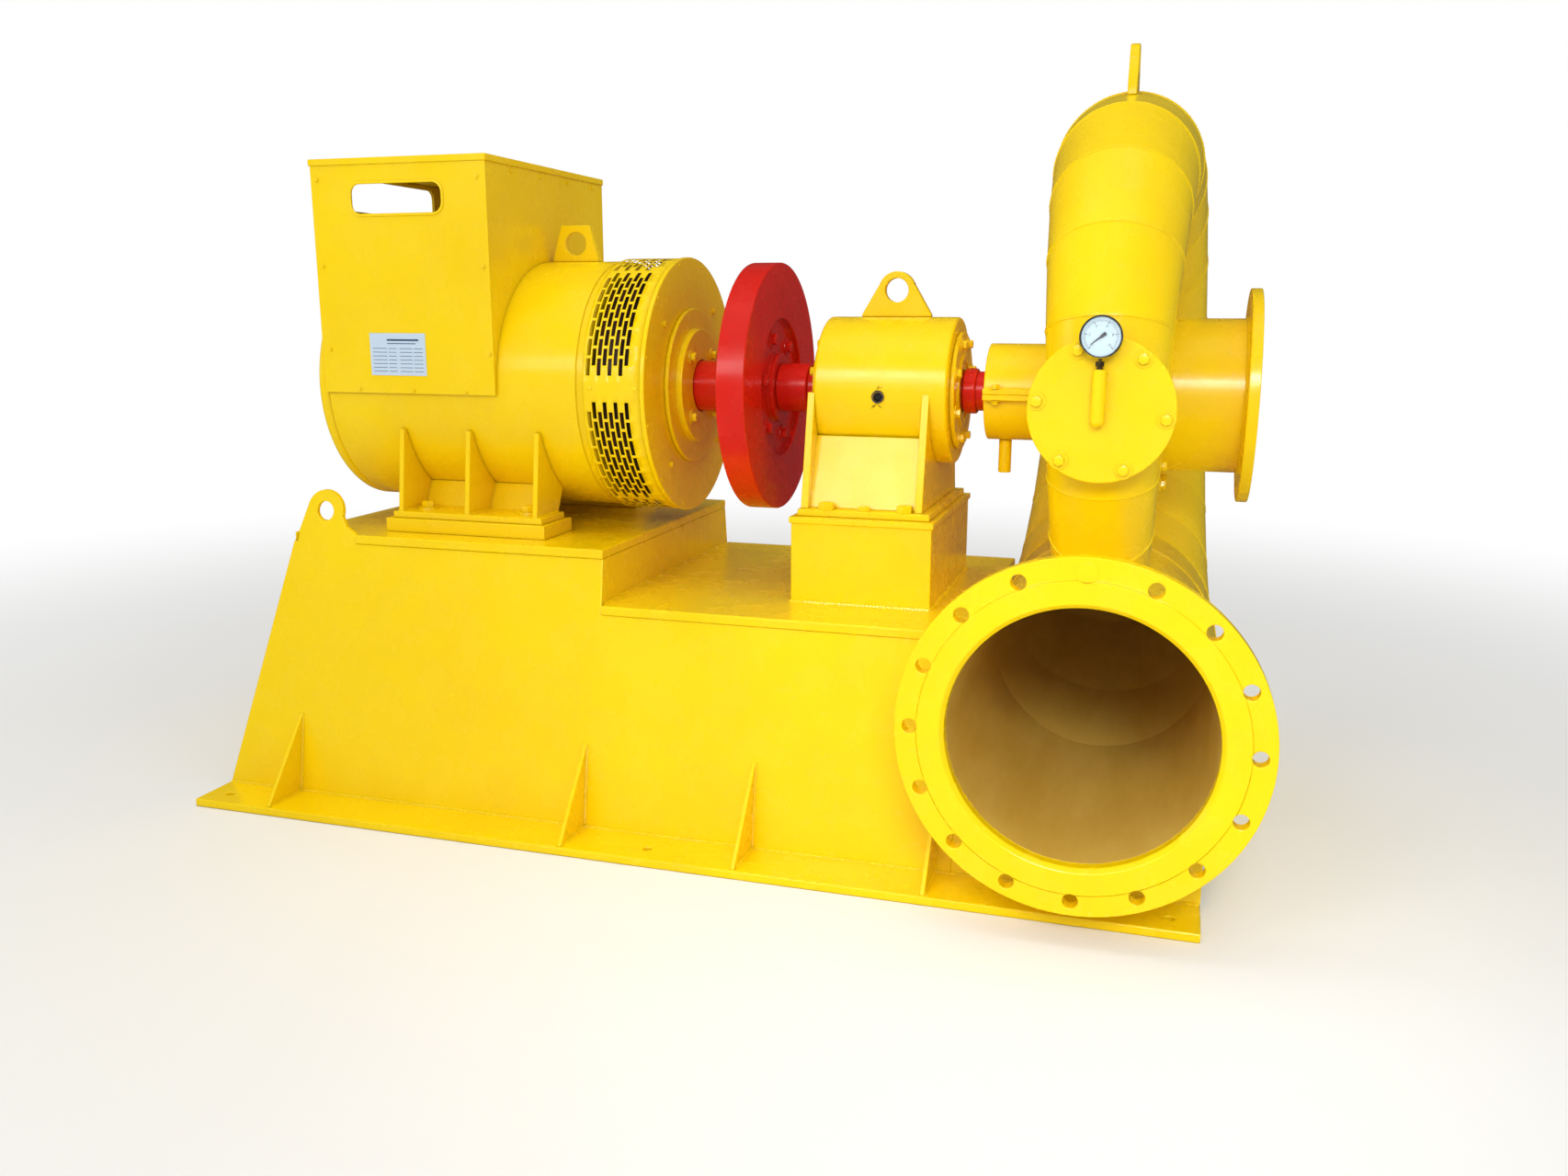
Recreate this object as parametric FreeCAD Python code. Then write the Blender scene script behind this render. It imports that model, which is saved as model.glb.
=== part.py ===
"""Hydroelectric generator set: Francis turbine, bearing, flywheel and generator on one base.

Frame: origin on the floor at the centre of the anchor holes, +X along the shaft from the
generator to the turbine, +Y away from the inlet side, +Z up. Millimetres.
"""
import FreeCAD, Part
import os
from math import cos, sin, radians, sqrt

V = FreeCAD.Vector

# ---------------------------------------------------------------- driving dimensions
# Whole set
shaft_height = 1300.0          # shaft centre line above the floor
base_length = 3032.0           # along the shaft
base_width = 1650.0            # over the foot flanges
running_clearance = 0.08       # journal in its bearing, on the radius
seal_clearance = 1.5           # shaft in covers and seals, on the radius
swing_clearance = 5.0          # between turning and fixed faces

# Base
flange_thickness = 25.0
flange_strip = 200.0           # width of each foot flange
wall_thickness = 16.0
wall_foot_half = 661.0         # outer face of a side wall at the flange
upper_deck_half = 540.0        # half width of the upper deck
upper_deck_top = 847.0
lower_deck_top = 684.0
deck_thickness = 28.0
deck_lip = 4.0                 # deck edge proud of the wall face
step_x = -216.0                # where the deck steps down
left_top_x = -1286.0           # top of the sloping left end
bulkhead_x = 862.0             # right face of the turbine bulkhead
rear_cradle_top = 400.0        # rear wall height under the casing
end_plate_top = 330.0          # right end plate height
anchor_x = 1440.0              # anchor holes from the centre, along X
anchor_y = 755.0               # and along Y
anchor_r = 13.0
gusset_x = (-1250.0, -250.0, 280.0, 812.0)
gusset_thickness = 12.0
gusset_rise = 250.0
gusset_edge = 8.0              # gusset tip back from the flange edge
ear_x = -1181.0
ear_rise = 69.0                # hole centre above the deck top
ear_r = 66.0
ear_hole_r = 30.0
ear_left = 101.0               # ear foot, left of the hole
ear_right = 115.0              # ear foot, right of the hole
saddle_y = (-330.0, -60.0)     # cradle plates under the inlet pipe
saddle_top = shaft_height - 880.0

# Generator
barrel_r = 392.0
barrel_left = -1229.0
barrel_right = -360.0
end_cover_thickness = 41.0
joint_ring_width = 27.0
joint_ring_drop = 6.0
drum_r = 400.0
drum_wall = 12.0
drum_spigot = 10.0             # barrel end that centres the drum
bell_r = 403.0
bell_face = -133.0
bell_thickness = 14.0
cap_ring_r = 245.0
cap_ring_thickness = 14.0
cap_hub_r = 180.0
cap_hub_thickness = 19.0
barrel_lug_x = -529.0
barrel_lug_foot = 168.0
barrel_lug_top = 100.0
barrel_lug_rise = 114.0
barrel_lug_hole_r = 37.0
barrel_lug_thickness = 24.0

# Generator feet
foot_rib_x = (-974.0, -737.0, -500.0)
foot_rib_thickness = 16.0
foot_rib_top = shaft_height - 132.0
foot_plate_left = -997.0
foot_plate_right = -473.0
foot_plate_thickness = 20.0
foot_half = 425.0              # outer edge of the foot plate
foot_inner = 270.0
foot_web_top = shaft_height - 310.0  # upper edge of the sloping web between the ribs
foot_web_lean = 40.0           # and how far it leans in towards the barrel
foot_web_thickness = 12.0
pad_thickness = 43.0
pad_margin = 17.0              # pad beyond the foot plate on each side

# Terminal box
tbox_left = -1232.0
tbox_right = -624.0
tbox_half = 405.0
tbox_top = shaft_height + 690.0
tbox_front_bottom = shaft_height - 19.0
tbox_sheet = 6.0
tbox_lid = 20.0
tbox_lid_lip = 4.0
slot_left = -1090.0
slot_right = -775.0
slot_bottom = shaft_height + 524.0
slot_top = shaft_height + 614.0
slot_corner = 30.0
window_half = 280.0            # window in the left side
window_bottom = shaft_height + 550.0
window_top = shaft_height + 655.0
nameplate_left = -1056.0
nameplate_right = -858.0
nameplate_bottom = shaft_height + 37.0
nameplate_top = shaft_height + 167.0
nameplate_thickness = 1.5

# Bearing and pedestal
pedestal_left = 302.0
pedestal_right = 724.0
pedestal_half = 334.0
pedestal_top = 941.0
pedestal_lip = 6.0
pedestal_plate = 18.0
bearing_left = 334.0
bearing_right = 736.0
bearing_r = 220.0
bearing_cover_r = 177.0
bearing_cover_thickness = 14.0
bearing_foot_left = 314.0
bearing_foot_right = 712.0
bearing_foot_half = 310.0
bearing_foot_plate = 20.0
cheek_left = 319.0
cheek_right = 664.0
cheek_thickness = 22.0
cheek_foot_half = 290.0
apron_top = shaft_height - 130.0  # top of the sloping aprons between the cheeks
apron_foot_half = 262.0
apron_top_half = 190.0
apron_thickness = 10.0
bearing_lug_x = 539.0
bearing_lug_foot = 215.0
bearing_lug_rise = 135.0
bearing_lug_top_r = 56.0
bearing_lug_hole_r = 36.0
bearing_lug_thickness = 30.0
oil_plug_x = 533.0
oil_plug_r = 13.0

# Rotor
hub_r = 80.0
flywheel_left = 85.0
flywheel_right = 172.0
flywheel_r = 384.0
flywheel_recess_r = 214.0
flywheel_recess_depth = 18.0
coupling_r = 76.0
coupling_right = 270.0
shaft_r = 59.0
inner_shaft_r = 62.0           # shaft inside the generator
slinger_rise = 9.0             # oil slinger over the shaft
slinger_width = 40.0

# Shaft seal
seal_left = 831.0
seal_r = 143.0
seal_flange_half = 168.0
seal_flange_thickness = 17.0
drain_x = 883.0
drain_r = 19.0
drain_bottom = shaft_height - 243.0

# Turbine
bulkhead_gap = 8.2             # inlet pipe clear of the bulkhead
casing_inner = 432.0           # radius that the tube touches on its inner side
tube_r_front = 146.0           # tube radius at shaft height on the inlet side
tube_growth = 0.64              # mm of radius per degree from there to the inlet
tube_taper = 0.3               # mm of radius per degree down to the narrow end
tube_flare = 13.0              # extra radius at the inlet
tube_flare_power = 7
casing_wall = 8.0
mitre_pitch = 18               # degrees between mitre seams
casing_end = -54               # degrees, narrow end
inlet_angle = 270              # degrees, where the tube meets the inlet pipe
section_mitres = 3
inlet_face_y = -952.0
inlet_flange_r = 447.0
inlet_flange_thickness = 40.0
inlet_mouth_r = 335.0
inlet_face_r = 392.0           # raised face
inlet_face_rise = 2.0
inlet_pcd = 818.0
inlet_hole_r = 19.0
inlet_holes = 16
chamber_half = 110.0           # runner chamber, half width
chamber_r = 480.0
head_cover_r = 330.0
head_cover_thickness = 30.0
outlet_ring_r = 300.0
outlet_ring_thickness = 30.0
outlet_pipe_r = 218.5
outlet_reach = 382.0           # outlet face from the middle plane of the casing
outlet_flange_r = 302.0
outlet_flange_thickness = 30.0
outlet_pcd = 550.0
outlet_hole_r = 11.0
outlet_holes = 16
hatch_rise = 6.0               # hatch centre above the shaft centre
hatch_neck_r = 140.0
hatch_r = 175.0
hatch_stand = 41.0             # hatch face out from the front of the tube
hatch_thickness = 24.0
gauge_pipe_left = 6.0          # left of the casing's middle plane
gauge_pipe_stand = 24.0        # and out from the hatch face
gauge_pipe_r = 16.0
gauge_pipe_bottom = shaft_height - 17.0
gauge_pipe_top = shaft_height + 103.0
gauge_stem_r = 8.0
gauge_z = shaft_height + 179.0
gauge_r = 50.0
gauge_depth = 34.0
casing_lug_thickness = 26.0
casing_lug_half = 75.0
casing_lug_rise = 126.8        # above the top of the tube
casing_lug_hole_r = 32.0

# ---------------------------------------------------------------- small helpers
base_right = base_length / 2
base_left = -base_length / 2
flange_half = base_width / 2
wall_top_half = upper_deck_half - deck_lip
tube_r_inlet = tube_r_front + tube_growth * inlet_angle + tube_flare
inlet_z = shaft_height - casing_inner - tube_r_inlet
turbine_x = bulkhead_x + bulkhead_gap + tube_r_inlet
outlet_face_x = turbine_x + outlet_reach
hatch_face_y = -(casing_inner + 2 * tube_r_front + hatch_stand)
gauge_pipe_x = turbine_x - gauge_pipe_left
gauge_pipe_y = hatch_face_y - gauge_pipe_stand
upper_wall_top = upper_deck_top - deck_thickness
lower_wall_top = lower_deck_top - deck_thickness
wall_slope = (wall_foot_half - wall_top_half) / (upper_wall_top - flange_thickness)
end_slope = (left_top_x - base_left) / (upper_deck_top - flange_thickness)


def box(x0, x1, y0, y1, z0, z1):
    return Part.makeBox(x1 - x0, y1 - y0, z1 - z0, V(x0, y0, z0))


def cyl_x(r, x0, x1, y=0.0, z=shaft_height):
    return Part.makeCylinder(r, x1 - x0, V(x0, y, z), V(1, 0, 0))


def cyl_y(r, y0, y1, x, z):
    return Part.makeCylinder(r, y1 - y0, V(x, y0, z), V(0, 1, 0))


def cyl_z(r, z0, z1, x, y):
    return Part.makeCylinder(r, z1 - z0, V(x, y, z0), V(0, 0, 1))


def prism_xz(points, y0, y1):
    """Outline in X and Z, drawn through Y."""
    wire = Part.makePolygon([V(x, y0, z) for x, z in points] + [V(points[0][0], y0, points[0][1])])
    return Part.Face(wire).extrude(V(0, y1 - y0, 0))


def prism_yz(points, x0, x1):
    """Outline in Y and Z, drawn through X."""
    wire = Part.makePolygon([V(x0, y, z) for y, z in points] + [V(x0, points[0][0], points[0][1])])
    return Part.Face(wire).extrude(V(x1 - x0, 0, 0))


def mirror_y(shape):
    return shape.mirror(V(0, 0, 0), V(0, 1, 0))


def both_sides(shape):
    """A shape and its mirror image across the shaft."""
    return Part.makeCompound(shape.Solids + mirror_y(shape).Solids)


def save(name, shape):
    shape.exportStep("parts/" + name + ".step")


def wall_y(z):
    """Outer face of the battered side walls at height z, as a distance from the middle."""
    return wall_foot_half - wall_slope * (z - flange_thickness)


def end_x(z):
    """Outer face of the sloping left end at height z."""
    return base_left + end_slope * (z - flange_thickness)


# ---------------------------------------------------------------- base
def foot_flange():
    plate = box(base_left, base_right, -flange_half, -flange_half + flange_strip, 0, flange_thickness)
    for x in (-anchor_x, 0.0, anchor_x):
        plate = plate.cut(cyl_z(anchor_r, -1, flange_thickness + 1, x, -anchor_y))
    return plate


def battered_slab(z_top):
    """Side wall slab on the inlet side, leaning inwards, from end to end."""
    low = -wall_y(flange_thickness)
    high = -wall_y(z_top)
    section = [(low, flange_thickness), (low + wall_thickness, flange_thickness),
               (high + wall_thickness, z_top), (high, z_top)]
    return prism_yz(section, base_left, base_right)


def ear_outline():
    """Lifting ear that rises from the end of the side wall, in X and Z."""
    z_hole = upper_deck_top + ear_rise
    foot_z = upper_wall_top
    left = ear_x - ear_left
    right = ear_x + ear_right
    plate = prism_xz([(left, foot_z), (left + 4, upper_deck_top), (ear_x - ear_r * 0.93, z_hole + ear_r * 0.36),
                      (ear_x + ear_r * 0.97, z_hole - ear_r * 0.24), (ear_x + ear_r * 1.2, z_hole - ear_r * 0.72),
                      (right, upper_deck_top), (right, foot_z)], -flange_half, 0)
    return plate.fuse(cyl_y(ear_r, -flange_half, 0, ear_x, z_hole))


def side_wall():
    """Long wall from the left end to the turbine bulkhead, with its step and its lifting ear."""
    outline = prism_xz([(base_left, flange_thickness), (bulkhead_x, flange_thickness),
                        (bulkhead_x, lower_wall_top), (step_x, lower_wall_top),
                        (step_x, upper_wall_top), (end_x(upper_wall_top), upper_wall_top)],
                       -flange_half, 0)
    slab = battered_slab(upper_deck_top + ear_rise + 2 * ear_r)
    hole = cyl_y(ear_hole_r, -flange_half, 0, ear_x, upper_deck_top + ear_rise)
    return slab.common(outline.fuse(ear_outline())).cut(hole).removeSplitter()


def front_cradle():
    """Wall strip under the inlet pipe, cut out round the pipe."""
    slab = battered_slab(inlet_z)
    outline = box(bulkhead_x, base_right, -flange_half, 0, flange_thickness, inlet_z)
    return slab.common(outline).cut(cyl_y(tube_r_inlet, -flange_half, 0, turbine_x, inlet_z))


def rear_cradle():
    """Low rear wall strip under the back of the casing."""
    slab = mirror_y(battered_slab(rear_cradle_top))
    return slab.common(box(bulkhead_x, base_right, 0, flange_half, flange_thickness, rear_cradle_top))


def between_walls(x0, x1, z0, z1):
    """Plate across the base that fills the space between the two side walls."""
    low = wall_y(z0) - wall_thickness
    high = wall_y(z1) - wall_thickness
    return prism_yz([(-low, z0), (low, z0), (high, z1), (-high, z1)], x0, x1)


def left_end():
    """Sloping end plate between the side walls."""
    low = end_x(flange_thickness)
    high = end_x(upper_wall_top)
    plate = prism_xz([(low, flange_thickness), (low + wall_thickness, flange_thickness),
                      (high + wall_thickness, upper_wall_top), (high, upper_wall_top)],
                     -flange_half, flange_half)
    return plate.common(between_walls(base_left, 0, flange_thickness, upper_wall_top))


def upper_deck():
    deck = box(left_top_x, step_x, -upper_deck_half, upper_deck_half, upper_wall_top, upper_deck_top)
    for ear in (ear_outline(), mirror_y(ear_outline())):
        deck = deck.cut(ear)
    inner = wall_y(upper_deck_top) - wall_thickness
    left = ear_x - ear_left
    right = ear_x + ear_right
    keep = box(left, right, -inner, inner, upper_wall_top, upper_deck_top)
    return deck.fuse(keep).removeSplitter()


def lower_deck():
    half = wall_y(lower_wall_top) + deck_lip
    return box(step_x, bulkhead_x, -half, half, lower_wall_top, lower_deck_top)


def gussets():
    """Triangular stiffeners between the wall and the foot flange."""
    shapes = []
    for x in gusset_x:
        tip = flange_half - gusset_edge
        top = flange_thickness + gusset_rise
        points = [(-tip, flange_thickness), (-wall_y(flange_thickness), flange_thickness),
                  (-wall_y(top), top)]
        x0 = x - gusset_thickness / 2
        shapes.append(prism_yz(points, x0, x0 + gusset_thickness))
    return Part.makeCompound(shapes)


def saddles():
    shapes = []
    for y in saddle_y:
        half = wall_thickness / 2
        plate = box(bulkhead_x, base_right - wall_thickness, y - half, y + half, flange_thickness, saddle_top)
        shapes.append(plate.cut(cyl_y(tube_r_inlet, y - 50, y + 50, turbine_x, inlet_z)))
    return Part.makeCompound(shapes)


# ---------------------------------------------------------------- generator
drum_left = barrel_right + joint_ring_width
bell_back = bell_face - bell_thickness
cap_ring_face = bell_face + cap_ring_thickness
cap_face = cap_ring_face + cap_hub_thickness
foot_z = upper_deck_top + pad_thickness
foot_top = foot_z + foot_plate_thickness


def barrel():
    body = cyl_x(barrel_r, barrel_left, barrel_right)
    ring = cyl_x(barrel_r - joint_ring_drop, barrel_right, drum_left)
    spigot = cyl_x(drum_r - drum_wall, drum_left, drum_left + drum_spigot)
    return body.fuse(ring).fuse(spigot)


def generator_end_cover():
    return cyl_x(barrel_r, barrel_left - end_cover_thickness, barrel_left)


def cooling_drum():
    return cyl_x(drum_r, drum_left, bell_back).cut(cyl_x(drum_r - drum_wall, drum_left - 1, bell_back + 1))


def end_bell():
    return cyl_x(bell_r, bell_back, bell_face).cut(cyl_x(hub_r + seal_clearance, bell_back - 1, bell_face + 1))


def bearing_cap():
    ring = cyl_x(cap_ring_r, bell_face, cap_ring_face)
    hub = cyl_x(cap_hub_r, cap_ring_face, cap_face)
    return ring.fuse(hub).cut(cyl_x(hub_r + seal_clearance, bell_face - 1, cap_face + 1))


def barrel_lug():
    z_top = shaft_height + barrel_r + barrel_lug_rise
    z_low = shaft_height
    half = barrel_lug_thickness / 2
    points = [(barrel_lug_x - barrel_lug_foot / 2, z_low),
              (barrel_lug_x - barrel_lug_foot / 2, shaft_height + barrel_r),
              (barrel_lug_x - barrel_lug_top / 2, z_top),
              (barrel_lug_x + barrel_lug_top / 2, z_top),
              (barrel_lug_x + barrel_lug_foot / 2, shaft_height + barrel_r),
              (barrel_lug_x + barrel_lug_foot / 2, z_low)]
    plate = prism_xz(points, -half, half)
    hole_z = shaft_height + barrel_r + barrel_lug_rise / 2
    plate = plate.cut(cyl_y(barrel_lug_hole_r, -half - 1, half + 1, barrel_lug_x, hole_z))
    return plate.cut(cyl_x(barrel_r, barrel_left, barrel_right))


def generator_foot():
    """Foot plate, three ribs and the leaning web behind them, on the inlet side."""
    frame = box(foot_plate_left, foot_plate_right, -foot_half, -foot_inner, foot_z, foot_top)
    rib_y = sqrt(barrel_r ** 2 - (shaft_height - foot_rib_top) ** 2)
    web_top = (-foot_inner + foot_web_lean, foot_web_top)
    for x in foot_rib_x:
        points = [(-foot_half + 8, foot_top), (-foot_inner, foot_top), web_top, (web_top[0], shaft_height),
                  (-rib_y, foot_rib_top), (-rib_y - 16, foot_rib_top)]
        x0 = x - foot_rib_thickness / 2
        frame = frame.fuse(prism_yz(points, x0, x0 + foot_rib_thickness))
    web = prism_yz([(-foot_inner - foot_web_thickness, foot_top), (-foot_inner, foot_top), web_top,
                    (web_top[0] - foot_web_thickness, web_top[1])], foot_rib_x[0], foot_rib_x[-1])
    frame = frame.fuse(web)
    return frame.cut(cyl_x(barrel_r, barrel_left, barrel_right)).removeSplitter()


def generator_pads():
    pad = box(foot_plate_left - pad_margin, foot_plate_right + pad_margin, -foot_half - pad_margin,
              -foot_inner + pad_margin, upper_deck_top, foot_z)
    return both_sides(pad)


# ---------------------------------------------------------------- terminal box
def rounded_slot_y(x0, x1, z0, z1, r):
    """Rounded rectangle in X and Z, drawn right through in Y."""
    block = box(x0, x1, -2 * tbox_half, 2 * tbox_half, z0, z1)
    return block.makeFillet(r, [e for e in block.Edges if abs(e.BoundBox.YLength) > 1])


def tbox_face():
    """Large inlet-side sheet that hangs down beside the barrel."""
    sheet = box(tbox_left, tbox_right, -tbox_half, -tbox_half + tbox_sheet, tbox_front_bottom, tbox_top - tbox_lid)
    return sheet.cut(rounded_slot_y(slot_left, slot_right, slot_bottom, slot_top, slot_corner))


def tbox_side(x0):
    """Side sheet between the two faces, cut to the curve of the barrel."""
    half = tbox_half - tbox_sheet
    sheet = box(x0, x0 + tbox_sheet, -half, half, tbox_front_bottom, tbox_top - tbox_lid)
    return sheet.cut(cyl_x(barrel_r, barrel_left - end_cover_thickness, barrel_right))


def tbox_left_side():
    block = box(tbox_left - 1, tbox_left + tbox_sheet + 1, -window_half, window_half, window_bottom, window_top)
    window = block.makeFillet(slot_corner, [e for e in block.Edges if abs(e.BoundBox.XLength) > 1])
    return tbox_side(tbox_left).cut(window)


def tbox_lid_sheet():
    lip = tbox_lid_lip
    return box(tbox_left - lip, tbox_right + lip, -tbox_half - lip, tbox_half + lip, tbox_top - tbox_lid, tbox_top)


def nameplate():
    return box(nameplate_left, nameplate_right, -tbox_half - nameplate_thickness, -tbox_half,
               nameplate_bottom, nameplate_top)


# ---------------------------------------------------------------- bearing and pedestal
pedestal_box_top = pedestal_top - pedestal_plate
bearing_foot_top = pedestal_top + bearing_foot_plate


def pedestal():
    outer = box(pedestal_left, pedestal_right, -pedestal_half, pedestal_half, lower_deck_top, pedestal_box_top)
    inner = box(pedestal_left + wall_thickness, pedestal_right - wall_thickness, -pedestal_half + wall_thickness,
                pedestal_half - wall_thickness, lower_deck_top - 1, pedestal_box_top + 1)
    return outer.cut(inner)


def pedestal_top_plate():
    lip = pedestal_lip
    return box(pedestal_left - lip, pedestal_right + lip, -pedestal_half - lip, pedestal_half + lip,
               pedestal_box_top, pedestal_top)


def bearing_foot():
    return box(bearing_foot_left, bearing_foot_right, -bearing_foot_half, bearing_foot_half,
               pedestal_top, bearing_foot_top)


def bearing_support():
    """Two cheek plates and two sloping aprons that carry the bearing housing."""
    points = [(-cheek_foot_half, bearing_foot_top), (cheek_foot_half, bearing_foot_top),
              (bearing_r, shaft_height), (-bearing_r, shaft_height)]
    frame = prism_yz(points, cheek_left, cheek_left + cheek_thickness)
    frame = frame.fuse(prism_yz(points, cheek_right, cheek_right + cheek_thickness))
    for side in (-1, 1):
        apron = [(side * apron_foot_half, bearing_foot_top),
                 (side * (apron_foot_half - apron_thickness), bearing_foot_top),
                 (side * (apron_top_half - apron_thickness), apron_top),
                 (side * apron_top_half, apron_top)]
        frame = frame.fuse(prism_yz(apron, cheek_left, cheek_right))
    frame = frame.cut(cyl_x(bearing_r, bearing_left, bearing_right))
    spare = cyl_x(bearing_cover_r + seal_clearance, cheek_left - 1, bearing_left + 1)
    return frame.cut(spare).removeSplitter()


def bearing_housing():
    body = cyl_x(bearing_r, bearing_left, bearing_right)
    body = body.cut(cyl_x(shaft_r + running_clearance, bearing_left - 1, bearing_right + 1))
    return body.cut(cyl_y(oil_plug_r, -bearing_r - 1, -bearing_r + 30, oil_plug_x, shaft_height - 10))


def bearing_cover(x0):
    cover = cyl_x(bearing_cover_r, x0, x0 + bearing_cover_thickness)
    return cover.cut(cyl_x(shaft_r + seal_clearance, x0 - 1, x0 + bearing_cover_thickness + 1))


def bearing_lug():
    foot = shaft_height + bearing_r
    hole_z = foot + bearing_lug_rise - bearing_lug_top_r
    half = bearing_lug_thickness / 2
    points = [(bearing_lug_x - bearing_lug_foot / 2, foot - 30), (bearing_lug_x - bearing_lug_foot / 2, foot + 6),
              (bearing_lug_x - bearing_lug_top_r * 0.93, hole_z + bearing_lug_top_r * 0.37),
              (bearing_lug_x + bearing_lug_top_r * 0.93, hole_z + bearing_lug_top_r * 0.37),
              (bearing_lug_x + bearing_lug_foot / 2, foot + 6), (bearing_lug_x + bearing_lug_foot / 2, foot - 30)]
    plate = prism_xz(points, -half, half).fuse(cyl_y(bearing_lug_top_r, -half, half, bearing_lug_x, hole_z))
    plate = plate.cut(cyl_y(bearing_lug_hole_r, -half - 1, half + 1, bearing_lug_x, hole_z))
    return plate.cut(cyl_x(bearing_r, bearing_left, bearing_right)).removeSplitter()


# ---------------------------------------------------------------- rotor
def generator_shaft():
    outer = cyl_x(hub_r, bell_back, flywheel_left)
    return outer.fuse(cyl_x(inner_shaft_r, drum_left + drum_spigot + swing_clearance, bell_back))


def flywheel():
    wheel = cyl_x(flywheel_r, flywheel_left, flywheel_right)
    left = cyl_x(flywheel_recess_r, flywheel_left, flywheel_left + flywheel_recess_depth)
    left = left.cut(cyl_x(hub_r + 30, flywheel_left - 1, flywheel_left + flywheel_recess_depth + 1))
    right = cyl_x(flywheel_recess_r, flywheel_right - flywheel_recess_depth, flywheel_right)
    right = right.cut(cyl_x(coupling_r + 30, flywheel_right - flywheel_recess_depth - 1, flywheel_right + 1))
    return wheel.cut(left).cut(right)


def turbine_shaft():
    hub = cyl_x(coupling_r, flywheel_right, coupling_right)
    return hub.fuse(cyl_x(shaft_r, coupling_right, head_cover_face - swing_clearance))


def slinger():
    x0 = bearing_right + bearing_cover_thickness + swing_clearance
    return cyl_x(shaft_r + slinger_rise, x0, x0 + slinger_width).cut(cyl_x(shaft_r, x0 - 1, x0 + slinger_width + 1))


# ---------------------------------------------------------------- shaft seal
head_cover_face = turbine_x - chamber_half - head_cover_thickness


def seal_half(side):
    """Half of the seal housing with its joint flange: side +1 is the upper half."""
    body = cyl_x(seal_r, seal_left, head_cover_face)
    z = shaft_height
    edge = z + side * seal_flange_thickness
    flange = box(seal_left, head_cover_face, -seal_flange_half, seal_flange_half, min(z, edge), max(z, edge))
    far = z + side * 2 * seal_r
    half_space = box(seal_left - 1, head_cover_face + 1, -2 * seal_r, 2 * seal_r, min(z, far), max(z, far))
    bore = cyl_x(shaft_r + seal_clearance, seal_left - 1, head_cover_face + 1)
    return body.fuse(flange).common(half_space).cut(bore).removeSplitter()


def drain_pipe():
    pipe = cyl_z(drain_r, drain_bottom, shaft_height, drain_x, 0)
    return pipe.cut(cyl_x(seal_r, seal_left, head_cover_face))


# ---------------------------------------------------------------- turbine
def tube_r(a):
    """Outer radius of the spiral tube at angle a: 0 inlet side, 90 top, 180 back, 270 bottom."""
    if a < 0:
        return tube_r_front + tube_taper * a
    return tube_r_front + tube_growth * a + tube_flare * (a / inlet_angle) ** tube_flare_power


def tube_centre(a):
    reach = casing_inner + tube_r(a)
    return V(turbine_x, -reach * cos(radians(a)), shaft_height + reach * sin(radians(a)))


def tube_ring(a, inset):
    """Circle of the tube in the plane through the shaft axis at angle a."""
    normal = V(0, sin(radians(a)), cos(radians(a)))
    return Part.Wire(Part.makeCircle(tube_r(a) - inset, tube_centre(a), normal))


def mitre_piece(a0, a1, inset):
    return Part.makeLoft([tube_ring(a0, inset), tube_ring(a1, inset)], True, True)


def casing_solid(a0, a1, inset):
    pieces = [mitre_piece(a, a + mitre_pitch, inset) for a in range(a0, a1, mitre_pitch)]
    solid = pieces[0]
    for piece in pieces[1:]:
        solid = solid.fuse(piece)
    return solid


def casing_section(a0, a1):
    """Stretch of mitred plate tube from angle a0 up to a1."""
    return casing_solid(a0, a1, 0.0).cut(casing_solid(a0, a1, casing_wall))


def inlet_pipe():
    pipe = cyl_y(tube_r_inlet, inlet_face_y + inlet_flange_thickness, 0, turbine_x, inlet_z)
    return pipe.cut(cyl_y(tube_r_inlet - casing_wall, inlet_face_y, 1, turbine_x, inlet_z))


def inlet_flange():
    back = inlet_face_y + inlet_flange_thickness
    disc = cyl_y(inlet_flange_r, inlet_face_y + inlet_face_rise, back, turbine_x, inlet_z)
    disc = disc.fuse(cyl_y(inlet_face_r, inlet_face_y, back, turbine_x, inlet_z))
    disc = disc.cut(cyl_y(tube_r_inlet - casing_wall, inlet_face_y - 1, back + 1, turbine_x, inlet_z))
    mouth = Part.makeCone(inlet_mouth_r, tube_r_inlet - casing_wall, 12, V(turbine_x, inlet_face_y, inlet_z), V(0, 1, 0))
    disc = disc.cut(mouth)
    for i in range(inlet_holes):
        a = radians(360.0 * i / inlet_holes)
        x = turbine_x + inlet_pcd / 2 * sin(a)
        z = inlet_z + inlet_pcd / 2 * cos(a)
        disc = disc.cut(cyl_y(inlet_hole_r, inlet_face_y - 1, back + 1, x, z))
    return disc.removeSplitter()


def runner_chamber(casing):
    disc = cyl_x(chamber_r, turbine_x - chamber_half, turbine_x + chamber_half)
    return disc.cut(casing)


def head_cover():
    disc = cyl_x(head_cover_r, head_cover_face, turbine_x - chamber_half)
    return disc


def outlet_ring():
    left = turbine_x + chamber_half
    ring = cyl_x(outlet_ring_r, left, left + outlet_ring_thickness)
    return ring.cut(cyl_x(outlet_pipe_r - casing_wall, left - 1, left + outlet_ring_thickness + 1))


def outlet_pipe():
    left = turbine_x + chamber_half + outlet_ring_thickness
    right = outlet_face_x - outlet_flange_thickness
    return cyl_x(outlet_pipe_r, left, right).cut(cyl_x(outlet_pipe_r - casing_wall, left - 1, right + 1))


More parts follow.
